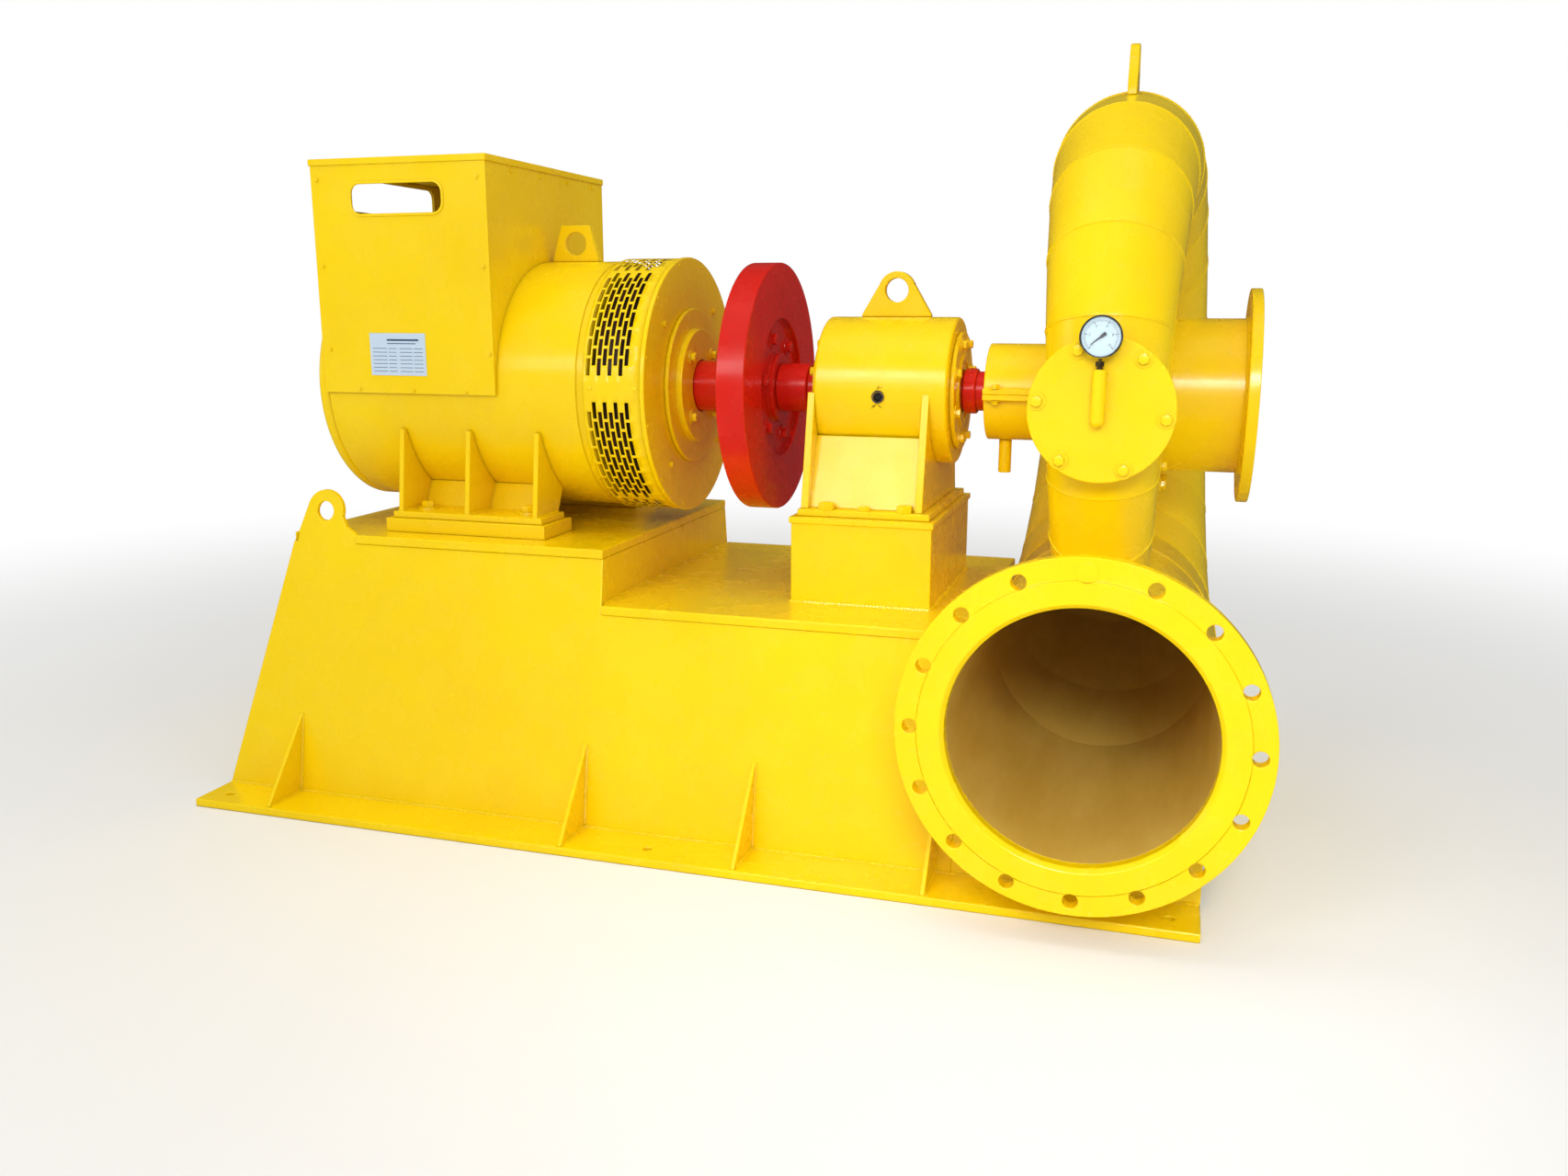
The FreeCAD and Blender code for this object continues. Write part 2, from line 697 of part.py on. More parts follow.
def outlet_flange():
    left = outlet_face_x - outlet_flange_thickness
    disc = cyl_x(outlet_flange_r, left, outlet_face_x)
    disc = disc.cut(cyl_x(outlet_pipe_r - casing_wall, left - 1, outlet_face_x + 1))
    for i in range(outlet_holes):
        a = radians(360.0 * i / outlet_holes)
        y = outlet_pcd / 2 * sin(a)
        z = shaft_height + outlet_pcd / 2 * cos(a)
        disc = disc.cut(cyl_x(outlet_hole_r, left - 1, outlet_face_x + 1, y, z))
    return disc


def hatch_neck(casing):
    z = shaft_height + hatch_rise
    neck = cyl_y(hatch_neck_r, hatch_face_y + hatch_thickness, tube_centre(0).y, turbine_x, z)
    return max(neck.cut(casing).Solids, key=lambda s: -s.CenterOfMass.y)


def hatch_cover():
    return cyl_y(hatch_r, hatch_face_y, hatch_face_y + hatch_thickness, turbine_x, shaft_height + hatch_rise)


def gauge_pipe():
    riser = cyl_z(gauge_pipe_r, gauge_pipe_bottom, gauge_pipe_top, gauge_pipe_x, gauge_pipe_y)
    knee = Part.makeSphere(gauge_pipe_r, V(gauge_pipe_x, gauge_pipe_y, gauge_pipe_bottom))
    stub = cyl_y(gauge_pipe_r, gauge_pipe_y, hatch_face_y, gauge_pipe_x, gauge_pipe_bottom)
    return riser.fuse(knee).fuse(stub).removeSplitter()


def gauge():
    body = cyl_y(gauge_r, gauge_pipe_y - gauge_depth / 2, gauge_pipe_y + gauge_depth / 2, gauge_pipe_x, gauge_z)
    stem = cyl_z(gauge_stem_r, gauge_pipe_top, gauge_z - gauge_r / 2, gauge_pipe_x, gauge_pipe_y)
    return body.fuse(stem).removeSplitter()


def casing_lug(casing):
    half = casing_lug_thickness / 2
    round_r = casing_lug_half * 0.62
    foot = tube_centre(90).z
    shoulder = foot + tube_r(90) + 20
    round_z = foot + tube_r(90) + casing_lug_rise - round_r
    plate = prism_yz([(-casing_lug_half, foot), (-casing_lug_half, shoulder), (-round_r, round_z),
                      (round_r, round_z), (casing_lug_half, shoulder), (casing_lug_half, foot)],
                     turbine_x - half, turbine_x + half)
    plate = plate.fuse(cyl_x(round_r, turbine_x - half, turbine_x + half, 0, round_z))
    plate = plate.cut(cyl_x(casing_lug_hole_r, turbine_x - half - 1, turbine_x + half + 1, 0, round_z))
    return plate.cut(casing).removeSplitter()


# ---------------------------------------------------------------- build
def build_base():
    save("base_foot_flanges", both_sides(foot_flange()))
    save("base_front_wall", side_wall())
    save("base_rear_wall", mirror_y(side_wall()))
    save("base_left_end", left_end())
    save("base_step_plate", between_walls(step_x - wall_thickness, step_x, lower_wall_top, upper_wall_top))
    save("base_turbine_bulkhead", between_walls(bulkhead_x - wall_thickness, bulkhead_x, flange_thickness,
                                                lower_wall_top))
    save("base_upper_deck", upper_deck())
    save("base_lower_deck", lower_deck())
    save("base_gussets", both_sides(gussets()))
    save("turbine_saddles", saddles())


def build_generator():
    save("generator_pads", generator_pads())
    save("generator_feet", both_sides(generator_foot()))
    save("generator_barrel", barrel())
    save("generator_end_cover", generator_end_cover())
    save("cooling_drum", cooling_drum())
    save("generator_end_bell", end_bell())
    save("generator_bearing_cap", bearing_cap())
    save("generator_lifting_lug", barrel_lug())
    save("terminal_box_faces", both_sides(tbox_face()))
    save("terminal_box_sides", Part.makeCompound([tbox_left_side(), tbox_side(tbox_right - tbox_sheet)]))
    save("terminal_box_lid", tbox_lid_sheet())
    save("nameplate", nameplate())


def build_bearing():
    save("bearing_pedestal", pedestal().fuse(pedestal_top_plate()))
    save("bearing_foot_plate", bearing_foot())
    save("bearing_support", bearing_support())
    save("bearing_housing", bearing_housing())
    left_cover = bearing_cover(bearing_left - bearing_cover_thickness)
    save("bearing_end_covers", Part.makeCompound([left_cover, bearing_cover(bearing_right)]))
    save("bearing_lifting_lug", bearing_lug())


def build_rotor():
    save("generator_shaft", generator_shaft())
    save("flywheel", flywheel())
    save("turbine_shaft", turbine_shaft())
    save("oil_slinger", slinger())


def build_turbine():
    pipe_body = cyl_y(tube_r_inlet, inlet_face_y, 0, turbine_x, inlet_z)
    tube = casing_solid(casing_end, inlet_angle, 0.0)
    water_way = tube.fuse(pipe_body)
    end_plate = between_walls(base_right - wall_thickness, base_right, flange_thickness, end_plate_top)
    save("base_cradles", Part.makeCompound([front_cradle()] + rear_cradle().cut(water_way).Solids))
    save("base_right_end", end_plate.cut(water_way))
    save("shaft_seal_upper", seal_half(1))
    save("shaft_seal_lower", seal_half(-1))
    save("seal_drain_pipe", drain_pipe())
    span = mitre_pitch * section_mitres
    for number, a0 in enumerate(range(inlet_angle - span, casing_end - 1, -span), 1):
        section = casing_section(a0, a0 + span)
        if a0 < 0:
            section = section.cut(pipe_body)
            section = max(section.Solids, key=lambda s: s.Volume)
        save("casing_section_%d" % number, section)
    save("inlet_pipe", inlet_pipe())
    save("inlet_flange", inlet_flange())
    save("runner_chamber", runner_chamber(water_way))
    save("turbine_side_covers", Part.makeCompound([head_cover(), outlet_ring()]))
    save("outlet_pipe", outlet_pipe())
    save("outlet_flange", outlet_flange())
    save("hatch_neck", hatch_neck(tube))
    save("hatch_cover", hatch_cover())
    save("gauge_pipe", gauge_pipe())
    save("pressure_gauge", gauge())
    save("casing_lifting_lug", casing_lug(tube))


os.makedirs("parts", exist_ok=True)
build_base()
build_generator()
build_bearing()
build_rotor()
build_turbine()
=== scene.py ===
"""Hydroelectric generator set: finish, welds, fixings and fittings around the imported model."""
from math import atan2, cos, degrees, pi, radians, sin

import bmesh
import bpy
from mathutils import Matrix, Vector, geometry, noise


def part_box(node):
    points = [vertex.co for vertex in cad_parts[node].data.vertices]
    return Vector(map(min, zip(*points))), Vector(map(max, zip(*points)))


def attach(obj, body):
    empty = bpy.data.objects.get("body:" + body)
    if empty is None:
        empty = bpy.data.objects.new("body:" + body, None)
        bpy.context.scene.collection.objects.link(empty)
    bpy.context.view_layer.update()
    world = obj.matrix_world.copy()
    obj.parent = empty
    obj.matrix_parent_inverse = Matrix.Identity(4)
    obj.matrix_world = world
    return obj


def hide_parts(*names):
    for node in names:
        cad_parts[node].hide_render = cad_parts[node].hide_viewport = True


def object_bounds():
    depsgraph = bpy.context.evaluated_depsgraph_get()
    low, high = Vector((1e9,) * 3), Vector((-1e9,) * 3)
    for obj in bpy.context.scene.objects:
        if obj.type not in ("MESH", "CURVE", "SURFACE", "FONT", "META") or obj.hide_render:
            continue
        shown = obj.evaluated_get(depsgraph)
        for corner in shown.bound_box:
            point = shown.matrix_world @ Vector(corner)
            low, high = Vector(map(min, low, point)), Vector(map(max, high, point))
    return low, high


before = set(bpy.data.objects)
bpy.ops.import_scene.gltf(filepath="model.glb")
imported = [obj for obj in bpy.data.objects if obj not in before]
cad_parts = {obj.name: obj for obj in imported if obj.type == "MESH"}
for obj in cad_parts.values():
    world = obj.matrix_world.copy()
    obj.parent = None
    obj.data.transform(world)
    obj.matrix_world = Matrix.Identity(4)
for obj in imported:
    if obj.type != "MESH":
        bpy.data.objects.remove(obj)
cad_low, cad_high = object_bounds()

# ---------------------------------------------------------------- welded base frame
# A long box of flame-cut steel plate on two foot flanges. The plates are fillet welded, the edges
# ground, and the whole painted in one thick coat of yellow gloss enamel that is never rubbed down.
MM = 0.001


def linear(hex_colour):
    """sRGB hex to the linear values that shaders use."""
    parts = [int(hex_colour[i:i + 2], 16) / 255 for i in (0, 2, 4)]
    return [c / 12.92 if c <= 0.04045 else ((c + 0.055) / 1.055) ** 2.4 for c in parts] + [1.0]


def add_node(material, kind, inputs=None, links=None, **settings):
    """Adds a node. inputs and links are keyed by socket name or number."""
    node = material.node_tree.nodes.new(kind)
    for name, value in settings.items():
        setattr(node, name, value)
    for key, value in (inputs or {}).items():
        node.inputs[key].default_value = value
    for key, (source, output) in (links or {}).items():
        material.node_tree.links.new(source.outputs[output], node.inputs[key])
    return node


def new_material(name):
    material = bpy.data.materials.new(name)
    material.use_nodes = True
    material.node_tree.nodes.clear()
    return material


def gloss_enamel(name, full, thick, corner):
    """Alkyd gloss enamel sprayed on steel plate: a wet, saturated coat, deeper where it is thick, dull in corners and
    darkened there by painted shade. The plate under it waves over 150 mm; real 3 mm orange peel is drawn 14 mm wide."""
    material = new_material(name)
    place = add_node(material, "ShaderNodeTexCoord")
    coat = add_node(material, "ShaderNodeTexNoise", {"Scale": 1 / 0.45, "Detail": 4.0, "Roughness": 0.6},
                    {"Vector": (place, "Object")})
    cloud = add_node(material, "ShaderNodeMapRange", {"From Min": 0.35, "From Max": 0.68}, {"Value": (coat, "Fac")})
    tone = add_node(material, "ShaderNodeMix", {6: linear(full), 7: linear(thick)}, {0: (cloud, "Result")},
                    data_type="RGBA")
    # Painted shade: ambient occlusion darkens the coat towards the corner colour in corners, crevices and joints
    shut_in = add_node(material, "ShaderNodeAmbientOcclusion", {"Distance": 0.018}, samples=8)
    painted_corner_shade = add_node(material, "ShaderNodeMapRange", {"From Min": 0.15, "From Max": 0.8, "To Min": 0.5, "To Max": 0.0},
                    {"Value": (shut_in, "AO")})
    colour = add_node(material, "ShaderNodeMix", {7: linear(corner)}, {0: (painted_corner_shade, "Result"), 6: (tone, 2)},
                      data_type="RGBA")
    wipe = add_node(material, "ShaderNodeTexNoise", {"Scale": 1 / 0.09, "Detail": 5.0}, {"Vector": (place, "Object")})
    dull = add_node(material, "ShaderNodeMapRange",
                    {"From Min": 0.3, "From Max": 0.75, "To Min": 0.2, "To Max": 0.34},
                    {"Value": (wipe, "Fac")})
    plate = add_node(material, "ShaderNodeTexNoise", {"Scale": 1 / 0.15, "Detail": 1.0},
                     {"Vector": (place, "Object")})
    waves = add_node(material, "ShaderNodeBump", {"Strength": 1.0, "Distance": 0.0006}, {"Height": (plate, "Fac")})
    peel = add_node(material, "ShaderNodeTexNoise", {"Scale": 1 / 0.014, "Detail": 1.0},
                    {"Vector": (place, "Object")})
    skin = add_node(material, "ShaderNodeBump", {"Strength": 1.0, "Distance": 0.00002},
                    {"Height": (peel, "Fac"), "Normal": (waves, "Normal")})
    shader = add_node(material, "ShaderNodeBsdfPrincipled",
                      {"IOR": 1.45, "Coat Weight": 0.2, "Coat Roughness": 0.07, "Coat IOR": 1.5},
                      {"Base Color": (colour, 2), "Roughness": (dull, "Result"), "Normal": (skin, "Normal"),
                       "Coat Normal": (skin, "Normal")})
    add_node(material, "ShaderNodeOutputMaterial", links={"Surface": (shader, "BSDF")})
    return material


# The last colour is the painted shade in corners and crevices
yellow_enamel = gloss_enamel("yellow_gloss_enamel", "FBD704", "F6CF03", "9A7800")


def finish(mesh, name, material, slot="yellow_enamel", body="machine_frame", crease=30.0, unit=MM):
    """Closes a mesh drawn in millimetres, links it as a piece and lets it ride on its body."""
    bmesh.ops.remove_doubles(mesh, verts=mesh.verts, dist=0.001 * MM / unit)
    bmesh.ops.scale(mesh, vec=(unit, unit, unit), verts=mesh.verts)
    for face in mesh.faces:
        face.smooth = True
    for edge in mesh.edges:
        edge.smooth = edge.calc_face_angle(0.0) < radians(crease)
    data = bpy.data.meshes.new(name)
    mesh.to_mesh(data)
    mesh.free()
    piece = bpy.data.objects.new(name, data)
    bpy.context.scene.collection.objects.link(piece)
    data.materials.append(material)
    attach(piece, body)
    return piece


def new_piece(mesh, name, material, **facts):
    """As finish, for a shape made here, whose faces are turned outwards first."""
    bmesh.ops.remove_doubles(mesh, verts=mesh.verts, dist=0.001)
    bmesh.ops.recalc_face_normals(mesh, faces=mesh.faces)
    return finish(mesh, name, material, **facts)


def ground_and_painted(node, edge, material=yellow_enamel, slot="yellow_enamel", body="machine_frame", crease=30.0,
                       rounds=2):
    """Copy of a CAD node with its sharp edges broken by that many millimetres; it stands for the node."""
    mesh = bmesh.new()
    mesh.from_mesh(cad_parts[node].data)
    bmesh.ops.remove_doubles(mesh, verts=mesh.verts, dist=0.01 * MM)
    bmesh.ops.dissolve_limit(mesh, angle_limit=radians(0.2), verts=mesh.verts, edges=mesh.edges)
    piece = finish(mesh, node + "_painted", material, slot, body, crease, unit=1.0)
    breaks = piece.modifiers.new("broken edges", "BEVEL")
    breaks.width = edge * MM
    breaks.segments = rounds
    breaks.limit_method = "ANGLE"
    breaks.angle_limit = radians(crease)
    breaks.use_clamp_overlap = False
    flats = piece.modifiers.new("flat faces", "WEIGHTED_NORMAL")
    flats.keep_sharp = True
    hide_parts(node)
    return piece


for node, edge in (("base_foot_flanges", 3.0), ("base_front_wall", 2.5), ("base_rear_wall", 2.5),
                   ("base_cradles", 2.0),
                   ("base_left_end", 1.5), ("base_step_plate", 1.5), ("base_turbine_bulkhead", 1.5),
                   ("base_right_end", 1.5), ("base_upper_deck", 4.0), ("base_lower_deck", 4.0), ("base_gussets", 2.0),
                   ("turbine_saddles", 1.5)):
    ground_and_painted(node, edge)


def corners(node):
    """Lowest and highest corner of a CAD node, in millimetres."""
    low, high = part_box(node)
    return low / MM, high / MM


BEAD_SIDES = 8


def rippled(vertices, leg, wave, travel, heart):
    """Weld ripples: swells the bead a little every wave millimetres along it."""
    for vertex in vertices:
        swell = 0.12 * sin(travel(vertex.co) * 2 * pi / wave) + 0.1 * noise.noise(vertex.co / (5 * leg))
        middle = heart(vertex.co)
        vertex.co = middle + (vertex.co - middle) * (1 + swell)


def straight_weld(mesh, start, end, leg):
    """Fillet bead from start to end: a rippled rod sunk in the corner of two plates."""
    start, end = Vector(start), Vector(end)
    run = end - start
    turn = run.to_track_quat("Z", "Y").to_matrix().to_4x4()
    made = bmesh.ops.create_cone(mesh, cap_ends=True, segments=BEAD_SIDES, radius1=leg, radius2=leg, depth=run.length,
                                 matrix=Matrix.Translation((start + end) / 2) @ turn)
    along = [e for e in {e for v in made["verts"] for e in v.link_edges}
             if abs((e.verts[0].co - e.verts[1].co).dot(run.normalized())) > run.length / 2]
    cut = bmesh.ops.subdivide_edges(mesh, edges=along, cuts=max(2, int(run.length / (0.5 * leg))))
    rings = {v for v in cut["geom_inner"] if isinstance(v, bmesh.types.BMVert)}
    rippled(rings, leg, 1.5 * leg, lambda p: (p - start).dot(run.normalized()),
            lambda p: start + run * ((p - start).dot(run) / run.length_squared))


# Fillets along the foot of both walls and round each gusset
foot_low, foot_high = corners("base_foot_flanges")
wall_low = corners("base_front_wall")[0]
gusset_low, gusset_high = corners("base_gussets")
DECK_HALF = 540.0
WALL_LEAN = (-wall_low.y - DECK_HALF + 4.0) / (corners("base_upper_deck")[0].z - foot_high.z)
GUSSET_X = (-1250.0, -250.0, 280.0, 812.0)
GUSSET_HALF = 6.0
welds = bmesh.new()
for side in (-1, 1):
    foot_y = side * -wall_low.y
    straight_weld(welds, (foot_low.x + 4, foot_y, foot_high.z), (foot_high.x - 4, foot_y, foot_high.z), 6.0)
    gusset_top_y = side * (-wall_low.y - WALL_LEAN * (gusset_high.z - foot_high.z))
    for x in GUSSET_X:
        for flank in (-GUSSET_HALF, GUSSET_HALF):
            straight_weld(welds, (x + flank, side * (-gusset_low.y - 6), foot_high.z),
                          (x + flank, foot_y, foot_high.z), 4.5)
            straight_weld(welds, (x + flank, foot_y, foot_high.z), (x + flank, gusset_top_y, gusset_high.z - 4), 4.5)
step_low, step_high = corners("base_step_plate")
straight_weld(welds, (step_high.x, -DECK_HALF, step_low.z + 28), (step_high.x, DECK_HALF, step_low.z + 28), 5.0)
new_piece(welds, "base_fillet_welds", yellow_enamel)

# ---------------------------------------------------------------- generator shell and feet
# A rolled and welded steel shell on two feet. Each foot is a plate with three ribs on a machined pad,
# held down by hex bolts; the shell ends in a turned joint ring.
ground_and_painted("generator_pads", 2.0)
ground_and_painted("generator_feet", 2.0)
ground_and_painted("generator_barrel", 2.0)
ground_and_painted("generator_end_cover", 14.0, rounds=4)
ground_and_painted("generator_lifting_lug", 2.5)


def seated(place, axis):
    """Matrix that stands a part made along Z on a place, pointing along axis."""
    return Matrix.Translation(Vector(place)) @ Vector(axis).to_track_quat("Z", "Y").to_matrix().to_4x4()


def hex_bolt(mesh, place, axis, across, head, washer=True, turned=0.0):
    """Hex bolt head with a chamfered top, on a plain washer."""
    base = seated(place, axis) @ Matrix.Rotation(radians(turned), 4, "Z")
    rise = 0.0
    if washer:
        rise = 0.12 * across
        bmesh.ops.create_cone(mesh, cap_ends=True, segments=28, radius1=0.95 * across, radius2=0.92 * across,
                              depth=rise,
                              matrix=base @ Matrix.Translation((0, 0, rise / 2)))
    made = bmesh.ops.create_cone(mesh, cap_ends=True, segments=6, radius1=across / 2 / cos(pi / 6),
                                 radius2=across / 2 / cos(pi / 6), depth=head,
                                 matrix=base @ Matrix.Translation((0, 0, rise + head / 2)))
    top = max({f for v in made["verts"] for f in v.link_faces}, key=lambda f: f.normal.dot(Vector(axis)))
    bmesh.ops.bevel(mesh, geom=list(top.edges), offset=0.13 * head, segments=2, profile=0.5, affect="EDGES",
                    material=-1)


def round_screw(mesh, place, axis, radius, rise):
    """Low domed screw head, half sunk in its plate and full of paint."""
    dome = seated(place, axis) @ Matrix.Diagonal((radius, radius, rise, 1))
    bmesh.ops.create_uvsphere(mesh, u_segments=16, v_segments=8, radius=1.0, matrix=dome)


foot_low, foot_high = corners("generator_feet")
FOOT_TOP = 910.0
RIBS_X = (-974.0, -737.0, -500.0)
bolts = bmesh.new()
for side in (-1, 1):
    for x in (RIBS_X[0] + 50, RIBS_X[2] - 62):
        hex_bolt(bolts, (x, side * 335, FOOT_TOP), (0, 0, 1), 36, 20, turned=15)
new_piece(bolts, "generator_foot_bolts", yellow_enamel)

welds = bmesh.new()
for side in (-1, 1):
    for x in RIBS_X:
        for flank in (-8, 8):
            straight_weld(welds, (x + flank, side * 412, FOOT_TOP), (x + flank, side * 275, FOOT_TOP), 4.0)
new_piece(welds, "generator_foot_welds", yellow_enamel)

# ---------------------------------------------------------------- cooling drum
# The fan end of the shell is a separate drum of 1.5 mm steel sheet, punched with rows of upright slots
# in brick pattern, in six fields, and held by screws. Dark varnished windings show through the slots.
DRUM_AXIS = 1300.0
DRUM_SHEET = 1.5
drum_low, drum_high = corners("cooling_drum")
drum_r = drum_high.y
SLOT_COLUMNS = 8
FIRST_SLOT_X = -321.5
SLOT_WIDTH = 12.6
COLUMN_PITCH = 17.7
HALF_PITCH = 4.285          # degrees, half the pitch of the slots round the drum
BRIDGE = 1.27               # degrees between two slots of a column
SLOTS_PER_FIELD = 6
FIELD_STARTS = (-115.7, -58.9, 6.8, 63.5, 129.1, 185.9)

column_edges = [drum_low.x]
for column in range(SLOT_COLUMNS):
    left = FIRST_SLOT_X + column * COLUMN_PITCH
    column_edges += [left, left + SLOT_WIDTH]
column_edges.append(drum_high.x)

row_edges = []
row_steps = []              # place of each row in its field; None between fields
field_rows = 4 * SLOTS_PER_FIELD + 1
for number, start in enumerate(FIELD_STARTS):
    for step in range(field_rows):
        row_edges.append(start + HALF_PITCH * (step // 2) + (HALF_PITCH - BRIDGE) * (step % 2))
        row_steps.append(step)
    end = row_edges[-1] + HALF_PITCH - BRIDGE
    after = FIELD_STARTS[number + 1] if number + 1 < len(FIELD_STARTS) else FIELD_STARTS[0] + 360
    for third in range(3):
        row_edges.append(end + (after - end) * third / 3)
        row_steps.append(None)
row_edges.append(FIELD_STARTS[0] + 360)


def is_slot(column, step):
    """Whether a cell of the sheet is punched out. Even columns start low, odd ones half a pitch up."""
    if column % 2 == 0 or step is None:
        return False
    shift = 0 if (column // 2) % 2 == 0 else 2
    return 0 <= step - shift < field_rows - 2 and (step - shift) % 4 != 3


sheet = bmesh.new()
bmesh.ops.create_grid(sheet, x_segments=len(column_edges) - 1, y_segments=len(row_edges) - 1, size=0.5)
cells_x = len(column_edges) - 1
cells_y = len(row_edges) - 1
punched = []
for face in sheet.faces:
    middle = face.calc_center_median()
    column = int((middle.x + 0.5) * cells_x)
    row = int((middle.y + 0.5) * cells_y)
    if is_slot(column, row_steps[row]):
        punched.append(face)
bmesh.ops.delete(sheet, geom=punched, context="FACES")
for vertex in sheet.verts:
    angle = radians(row_edges[round((vertex.co.y + 0.5) * cells_y)])
    x = column_edges[round((vertex.co.x + 0.5) * cells_x)]
    vertex.co = (x, -drum_r * cos(angle), DRUM_AXIS + drum_r * sin(angle))
drum = new_piece(sheet, "cooling_drum_grille", yellow_enamel)
wall = drum.modifiers.new("sheet", "SOLIDIFY")
wall.thickness = DRUM_SHEET * MM
wall.offset = -1.0
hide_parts("cooling_drum")


def turned_part(mesh, outline, axis_at=(0, 0, DRUM_AXIS), axis=(1, 0, 0), steps=96):
    """Lathe work: spins an outline of (distance along, radius) points round an axis."""
    axis = Vector(axis)
    out = axis.orthogonal().normalized()
    points = [mesh.verts.new(Vector(axis_at) + axis * along + out * radius) for along, radius in outline]
    # No edge along the axis itself, where an outline starts and ends at radius 0
    edges = [mesh.edges.new((points[i - 1], points[i])) for i in range(len(points))
             if outline[i - 1][1] > 0 or outline[i][1] > 0]
    bmesh.ops.spin(mesh, geom=points + edges, cent=axis_at, axis=axis, angle=2 * pi, steps=steps, use_merge=True)


varnish = new_material("baked_winding_varnish")
# Baked alkyd varnish over taped copper coils: nearly black brown, half gloss, ridged every 16 mm by the coils.
place = add_node(varnish, "ShaderNodeTexCoord")
coils = add_node(varnish, "ShaderNodeTexWave", {"Scale": 1 / 0.016 / 6.28, "Distortion": 2.0},
                 {"Vector": (place, "Object")})
shade = add_node(varnish, "ShaderNodeMix", {6: linear("1C0D08"), 7: linear("43200F")}, {0: (coils, "Fac")},
                 data_type="RGBA")
ridges = add_node(varnish, "ShaderNodeBump", {"Distance": 0.002}, {"Height": (coils, "Fac")})
shader = add_node(varnish, "ShaderNodeBsdfPrincipled", {"Roughness": 0.45},
                  {"Base Color": (shade, 2), "Normal": (ridges, "Normal")})
add_node(varnish, "ShaderNodeOutputMaterial", links={"Surface": (shader, "BSDF")})

coil_ends = bmesh.new()
turned_part(coil_ends, [(-322, 230), (-322, 352), (-300, 366), (-228, 358), (-196, 330), (-190, 290), (-200, 240)])
new_piece(coil_ends, "stator_coil_ends", varnish, crease=60.0)

screws = bmesh.new()
for side in (-1, 1):
    for angle in (1.3, 59.0, -60.0):
        turn = radians(angle)
        for x in (-326.0 + 16, -163.0):
            out = Vector((0, side * cos(turn), sin(turn)))
            round_screw(screws, Vector((x, 0, DRUM_AXIS)) + out * drum_r, out, 8.0, 3.0)
new_piece(screws, "cooling_drum_screws", yellow_enamel)

# ---------------------------------------------------------------- generator end bell and bearing cap
# Turned cast plates that close the drive end. The cap is held by four hex bolts; smaller screws on the
# bell hold the air guide inside.
ground_and_painted("generator_end_bell", 3.0)
ground_and_painted("generator_bearing_cap", 3.5, rounds=3)
cap_high = corners("generator_bearing_cap")[1]
bell_face = corners("generator_end_bell")[1].x


def on_face(x, radius, angle, y=0.0, z=DRUM_AXIS):
    """Point on a face square to the shaft, at a radius and an angle from the inlet side upwards."""
    return Vector((x, y - radius * cos(radians(angle)), z + radius * sin(radians(angle))))


bolts = bmesh.new()
for number in range(4):
    hex_bolt(bolts, on_face(cap_high.x, 133, 45 + 90 * number), (1, 0, 0), 24, 14, turned=10 * number)
new_piece(bolts, "bearing_cap_bolts", yellow_enamel)

screws = bmesh.new()
for number in range(4):
    hex_bolt(screws, on_face(bell_face, 307, 40 + 90 * number), (1, 0, 0), 15, 8, washer=False)
for number in range(12):
    round_screw(screws, on_face(bell_face, 388, 15 + 30 * number), (1, 0, 0), 6.0, 2.5)
new_piece(screws, "end_bell_screws", yellow_enamel)

# Blank end of the generator: a dished cap over the far bearing and a ring of cover bolts
end_low = corners("generator_end_cover")[0]
far_cap = bmesh.new()
turned_part(far_cap, [(end_low.x + 4, 0.0), (end_low.x + 4, 190), (end_low.x - 9, 190), (end_low.x - 14, 185),
                      (end_low.x - 14, 128), (end_low.x - 34, 122), (end_low.x - 39, 112), (end_low.x - 42, 0.0)])
new_piece(far_cap, "far_bearing_cap", yellow_enamel)
bolts = bmesh.new()
for number in range(6):
    hex_bolt(bolts, on_face(end_low.x - 14, 158, 60 * number), (-1, 0, 0), 24, 14)
for number in range(8):
    hex_bolt(bolts, on_face(end_low.x, 345, 22.5 + 45 * number), (-1, 0, 0), 24, 14)
new_piece(bolts, "far_end_bolts", yellow_enamel)

# ---------------------------------------------------------------- terminal box
# Folded 2 to 3 mm sheet steel screwed together over the shell, with a lid, a long opening with a
# rolled rim in each face for the cables, and small painted screws round the seams.
ground_and_painted("terminal_box_faces", 1.2)
ground_and_painted("terminal_box_sides", 1.2)
ground_and_painted("terminal_box_lid", 2.5)
box_low, box_high = corners("terminal_box_faces")


def add_shape(mesh, shape):
    """Puts a finished shape into a mesh that gathers several."""
    part = bpy.data.meshes.new("part")
    shape.to_mesh(part)
    shape.free()
    mesh.from_mesh(part)
    bpy.data.meshes.remove(part)


